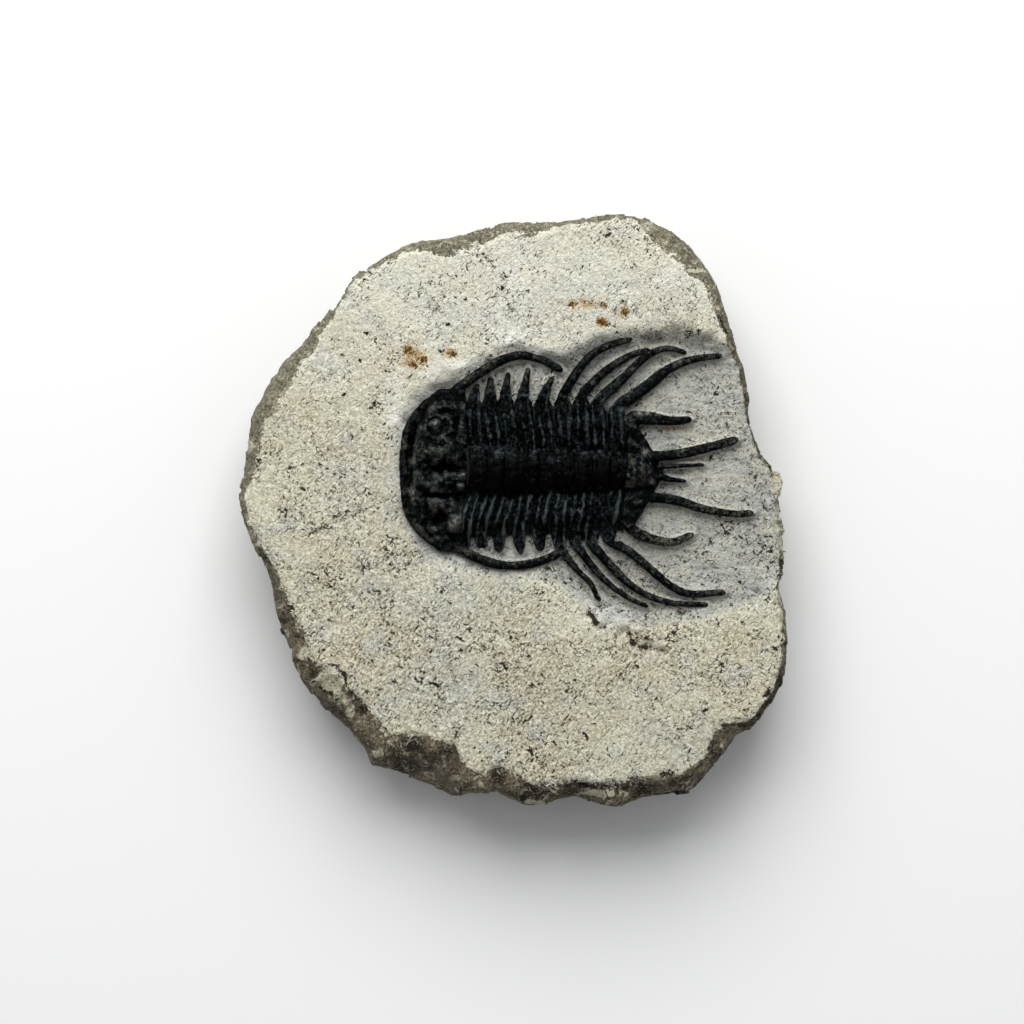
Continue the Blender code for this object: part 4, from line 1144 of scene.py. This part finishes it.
def buildStone(finish):
    look = stoneLook
    tree = treeOf("stone_block")
    side = look["side"]
    bearings = np.arange(0, 360, 0.5)
    outline = outlineByBearing(tree, bearings)

    def ringAt(degrees):
        return np.column_stack([towards(degrees) * 30, 0 * degrees])

    def outerAt(degrees):
        ring = ringAt(degrees)
        smooth = np.interp(degrees, bearings, outline, period=360)
        return smooth + 0.13 * cloud(ring, 2.6, 21) + 0.03 * cloud(ring, 0.8, 22) - 0.20

    def slopeAt(degrees):
        ring = ringAt(degrees)
        known, widths = zip(*look["slope"])
        wide = np.interp(degrees, known, widths, period=360) * (1 + 0.22 * cloud(ring, 3.4, 23))
        return wide + 0.16 * cloud(ring, 1.1, 24) + 0.08 * cloud(ring, 0.4, 26)

    i, j = np.meshgrid(np.arange(side + 1), np.arange(side + 1), indexing="ij")
    a, b = 2 * i.ravel() / side - 1, 2 * j.ravel() / side - 1
    ring = np.maximum(np.abs(a), np.abs(b))
    eastWest = 45 * b / np.where(a == 0, 1, a) + np.where(a < 0, 180, 0)
    northSouth = 90 - 45 * a / np.where(b == 0, 1, b) + np.where(b < 0, 180, 0)
    bearing = np.where(np.abs(a) >= np.abs(b), eastWest, northSouth) % 360
    reach = ring * (outerAt(bearing) - slopeAt(bearing))
    x, y = (towards(bearing) * reach[:, None]).T
    z = spineRidges(x, y, stoneHeight(x, y))
    rimDrop = smoothStep((ring - 0.975) / 0.025)
    z = z - 0.25 * rimDrop * (1 + cloud(flatPoints(x, y), 0.8, 25))
    top = np.column_stack([x, y, z])
    faces = [f[::-1] for f in gridFaces(side + 1, side + 1)]

    def index(p, q):
        return p * (side + 1) + q

    rim = ([index(side, q) for q in range(side)] + [index(p, side) for p in range(side, 0, -1)]
           + [index(0, q) for q in range(side, 0, -1)] + [index(p, 0) for p in range(side)])
    rimPoints = top[rim]
    rimBearing = bearing[rim]
    outer, width = outerAt(rimBearing), slopeAt(rimBearing)
    waist = rimPoints[:, 2] - 2.2 - 0.9 * width
    # the side from the rim down to the base: radius and height
    profile = np.stack([
        np.column_stack([outer - width, rimPoints[:, 2]]),
        np.column_stack([outer - 0.42 * width, rimPoints[:, 2] - 0.25 * (rimPoints[:, 2] - waist)]),
        np.column_stack([outer, waist]),
        np.column_stack([outer - 0.35, 0.72 * waist]),
        np.column_stack([outer - 1.3, 0.42 * waist]),
        np.column_stack([outer - 2.2, 0.16 * waist]),
        np.column_stack([outer - 2.9, 0 * waist]),
    ])
    knots = np.linspace(0, 1, len(profile))
    across = towards(rimBearing)
    rows = []
    for row in range(1, look["sideRows"] + 1):
        t = row / look["sideRows"]
        spot = min(int(t * (len(profile) - 1)), len(profile) - 2)
        mix = (t - knots[spot]) / (knots[spot + 1] - knots[spot])
        radius, height = (profile[spot] * (1 - mix) + profile[spot + 1] * mix).T
        points = np.column_stack([across * radius[:, None], height])
        stretch = points * [1, 1, 1.5]
        crumble = (look["flake"] * chips(stretch, 5.6, 71) + look["smallFlake"] * chips(stretch, 2.1, 72)
                   + look["crumb"] * cloud(points, 0.9, 73) + look["smallCrumb"] * cloud(points, 0.4, 74))
        waistness = np.exp(-((t - 0.333) / 0.10) ** 2)
        amount = smoothStep(t / 0.10) * (1 - 0.65 * waistness)
        amount *= 1 - 0.8 * smoothStep((t - 0.93) / 0.07)
        shift = np.minimum(crumble, 0.25 + 0.6 * (1 - waistness)) * amount
        points[:, :2] += across * shift[:, None]
        points[:, 2] += np.where(t < 0.95, 0.35 * crumble * amount, 0)
        points[:, 2] = np.clip(points[:, 2], 0, None) if row < look["sideRows"] else 0
        rows.append(points)
    base = len(top)
    ringCount = len(rim)
    points = np.concatenate([top, *rows])
    for axis in (0, 1):
        limit = look["halfSize"][axis]
        points[:, axis] = np.sign(points[:, axis]) * easeUnder(np.abs(points[:, axis]), limit)
    previous = rim
    for row in range(look["sideRows"]):
        current = list(range(base + row * ringCount, base + (row + 1) * ringCount))
        for k in range(ringCount):
            after = (k + 1) % ringCount
            faces.append((current[k], current[after], previous[after], previous[k]))
        previous = current
    faces.append(tuple(previous[::-1]))
    piece = makePiece("stoneBlock", points, faces, finish)

    # marks that the finish reads
    px, py = points[:, 0], points[:, 1]
    isSide = np.arange(len(points)) >= base
    flat = flatPoints(px, py)
    bearing = bearingOf(px, py)
    fromRim = (outerAt(bearing) - slopeAt(bearing)) - np.hypot(px, py)
    row = (np.arange(len(points)) - base) // ringCount + 1
    margin = np.clip(0.25 + 0.55 * slopeAt(bearing), 0.3, 1.1)
    onSide = np.clip(0.62 + 0.09 * row, 0, 1)
    addMark(piece, "broken", np.where(isSide, onSide, 0.62 * smoothStep(1 - fromRim / margin)))
    known, amounts = zip(*look["weathered"])
    addMark(piece, "weathered", np.interp(bearing, known, amounts, period=360))
    ledge = np.exp(-(lineDistance(look["ledge"], px, py) / 0.45) ** 2)
    ledge = ledge * (0.42 + 0.9 * cloud(flat, 0.6, 84))
    grime = spotted(look["grime"], px, py)
    crack = 0.7 * np.exp(-(lineDistance(look["crack"], px, py) / 0.11) ** 2)
    addMark(piece, "grime", np.where(isSide, 0, np.clip(ledge + grime + crack, 0, 1)))
    pale = spotted(look["pale"], px, py) * (1 + 0.8 * cloud(points, 0.9, 85))
    pale = pale * smoothStep((points[:, 2] - 9.5 - 1.6 * cloud(points, 1.4, 95)) / 1.5)
    addMark(piece, "paleChip", np.clip(pale, 0, 1))
    inset = bodyInset(px, py)
    # the core under the shell painted near-black: the fossil's dark calcite and painted shade in the gaps
    # between segments
    addMark(piece, "darkCoreAndShade", np.where(isSide, 0, smoothStep((inset - 0.5) / 0.25)))
    halo = np.exp(-(np.clip(-inset, 0, 99) / 2.2) ** 2)
    hollow = smoothStep(insideDistance(look["hollow"], px, py) / 1.5)
    fresh = np.clip(0.25 * halo + 0.85 * hollow, 0, 1) * (0.75 + 0.25 * cloud(flat, 1.6, 81))
    addMark(piece, "freshCut", np.where(isSide, 0, fresh))
    # painted shade on the hollow's north wall, which faces away from the light
    within = insideDistance(look["hollow"], px, py) + 0.5 * cloud(flat, 1.5, 87)
    sunk = np.interp(within, [0.4, 2.2, 3.8, 7.0], [0, 0.75, 0.75, 0])
    facing = smoothStep((px - 4) / 5) * smoothStep((py - 9) / 5) * (1 - 0.8 * smoothStep((px - 20) / 5))
    addMark(piece, "wall", np.where(isSide, 0, sunk * facing * (0.85 + 0.3 * cloud(flat, 1.2, 82))))
    strayX = px + 0.30 * cloud(points, 0.9, 92) + 0.12 * cloud(points, 0.4, 93)
    seam = sum(np.exp(-(lineDistance(line, strayX, py) / 0.20) ** 2) for line in look["seams"])
    seam = seam * np.clip(0.75 + 0.9 * cloud(points, 1.3, 94), 0, 1)
    addMark(piece, "seam", np.clip(seam, 0, 1) * smoothStep((points[:, 2] - 9.0) / 2.0))
    # paler towards the north as painted light from the lamp's side, and paler where scraped beside the
    # fossil
    scrapedAndLit = 0.36 * smoothStep((py - 6) / 18) * (0.9 + 0.5 * cloud(flat, 5, 86)) * (1 - 0.8 * fresh)
    for name in ("warm", "cool", "scraped"):
        spread = spotted(look[name], px, py) * (1 + 0.7 * cloud(flat, 2.4, 96))
        spread = np.where(isSide, 0, np.clip(spread, 0, 1))
        if name == "scraped":
            scrapedAndLit = scrapedAndLit + spread * (0.75 + 0.5 * cloud(flat, 0.9, 97))
        else:
            addMark(piece, name, spread)
    addMark(piece, "scrapedAndLit", np.where(isSide, 0, np.clip(scrapedAndLit, 0, 1)))
    patchy = 0.36 + 0.35 * cloud(flat, 4.5, 83) + 0.45 * cloud(flat, 1.5, 88)
    addMark(piece, "clean", np.clip(patchy + 0.006 * py - 0.12 * fresh, 0, 1))
    rust = spotted(look["rust"], px, py)
    addMark(piece, "rust", np.clip(np.where(isSide, 0, rust), 0, 1))
    settle(piece, "stone_block")


buildStone(limestone)
print("stone made")

# the studio: pale floor, one large soft light from the photo's top edge, and a camera straight above
studio = {
    "floorSize": 3.0, "floorColour": (0.86, 0.86, 0.85, 1), "floorRoughness": 0.9,
    "keyPlace": (-0.03, 0.33, 0.36), "keySize": 0.42, "keyPower": 2.85,
    "skyColour": (0.96, 0.98, 1.0, 1), "skyPower": (0.22, 0.66),  # behind and towards the key
    "keyAim": (0, 0, 0.01),
    "cameraHeight": 0.713, "lookHeight": 0.013, "viewWidth": 0.11264, "sensor": 36.0,
}


def buildStudio():
    look = studio
    half = look["floorSize"] / 2
    mesh = bpy.data.meshes.new("floor")
    corners = [(-half, -half, 0), (half, -half, 0), (half, half, 0), (-half, half, 0)]
    mesh.from_pydata(corners, [], [(0, 1, 2, 3)])
    floor = bpy.data.objects.new("floor", mesh)
    bpy.context.scene.collection.objects.link(floor)
    paper = bpy.data.materials.new("floorPaper")
    paper.use_nodes = True
    shader = paper.node_tree.nodes["Principled BSDF"]
    shader.inputs["Base Color"].default_value = look["floorColour"]
    shader.inputs["Roughness"].default_value = look["floorRoughness"]
    mesh.materials.append(paper)

    # the sky is brighter towards the lamp
    sky = bpy.data.worlds.new("studioSky")
    sky.use_nodes = True
    tree = sky.node_tree
    background = tree.nodes["Background"]
    background.inputs["Color"].default_value = look["skyColour"]
    around = tree.nodes.new("ShaderNodeTexCoord").outputs["Generated"]
    split = addNode(tree, "ShaderNodeSeparateXYZ", {"Vector": around})
    power = between(tree, split.outputs["Y"], -0.6, 0.7, *look["skyPower"])
    tree.links.new(power, background.inputs["Strength"])
    bpy.context.scene.world = sky

    lamp = bpy.data.lights.new("keyLight", "AREA")
    lamp.size = look["keySize"]
    lamp.energy = look["keyPower"]
    key = bpy.data.objects.new("keyLight", lamp)
    key.location = look["keyPlace"]
    facing = Vector(look["keyAim"]) - key.location
    key.rotation_euler = facing.to_track_quat("-Z", "Y").to_euler()
    bpy.context.scene.collection.objects.link(key)

    lens = bpy.data.cameras.new("camera")
    lens.sensor_width = look["sensor"]
    lens.lens = look["sensor"] * (look["cameraHeight"] - look["lookHeight"]) / look["viewWidth"]
    lens.clip_start = 0.01
    camera = bpy.data.objects.new("camera", lens)
    camera.location = (0, 0, look["cameraHeight"])
    bpy.context.scene.collection.objects.link(camera)
    bpy.context.scene.camera = camera
    bpy.context.scene.view_settings.view_transform = "Standard"


buildStudio()
print("studio made")
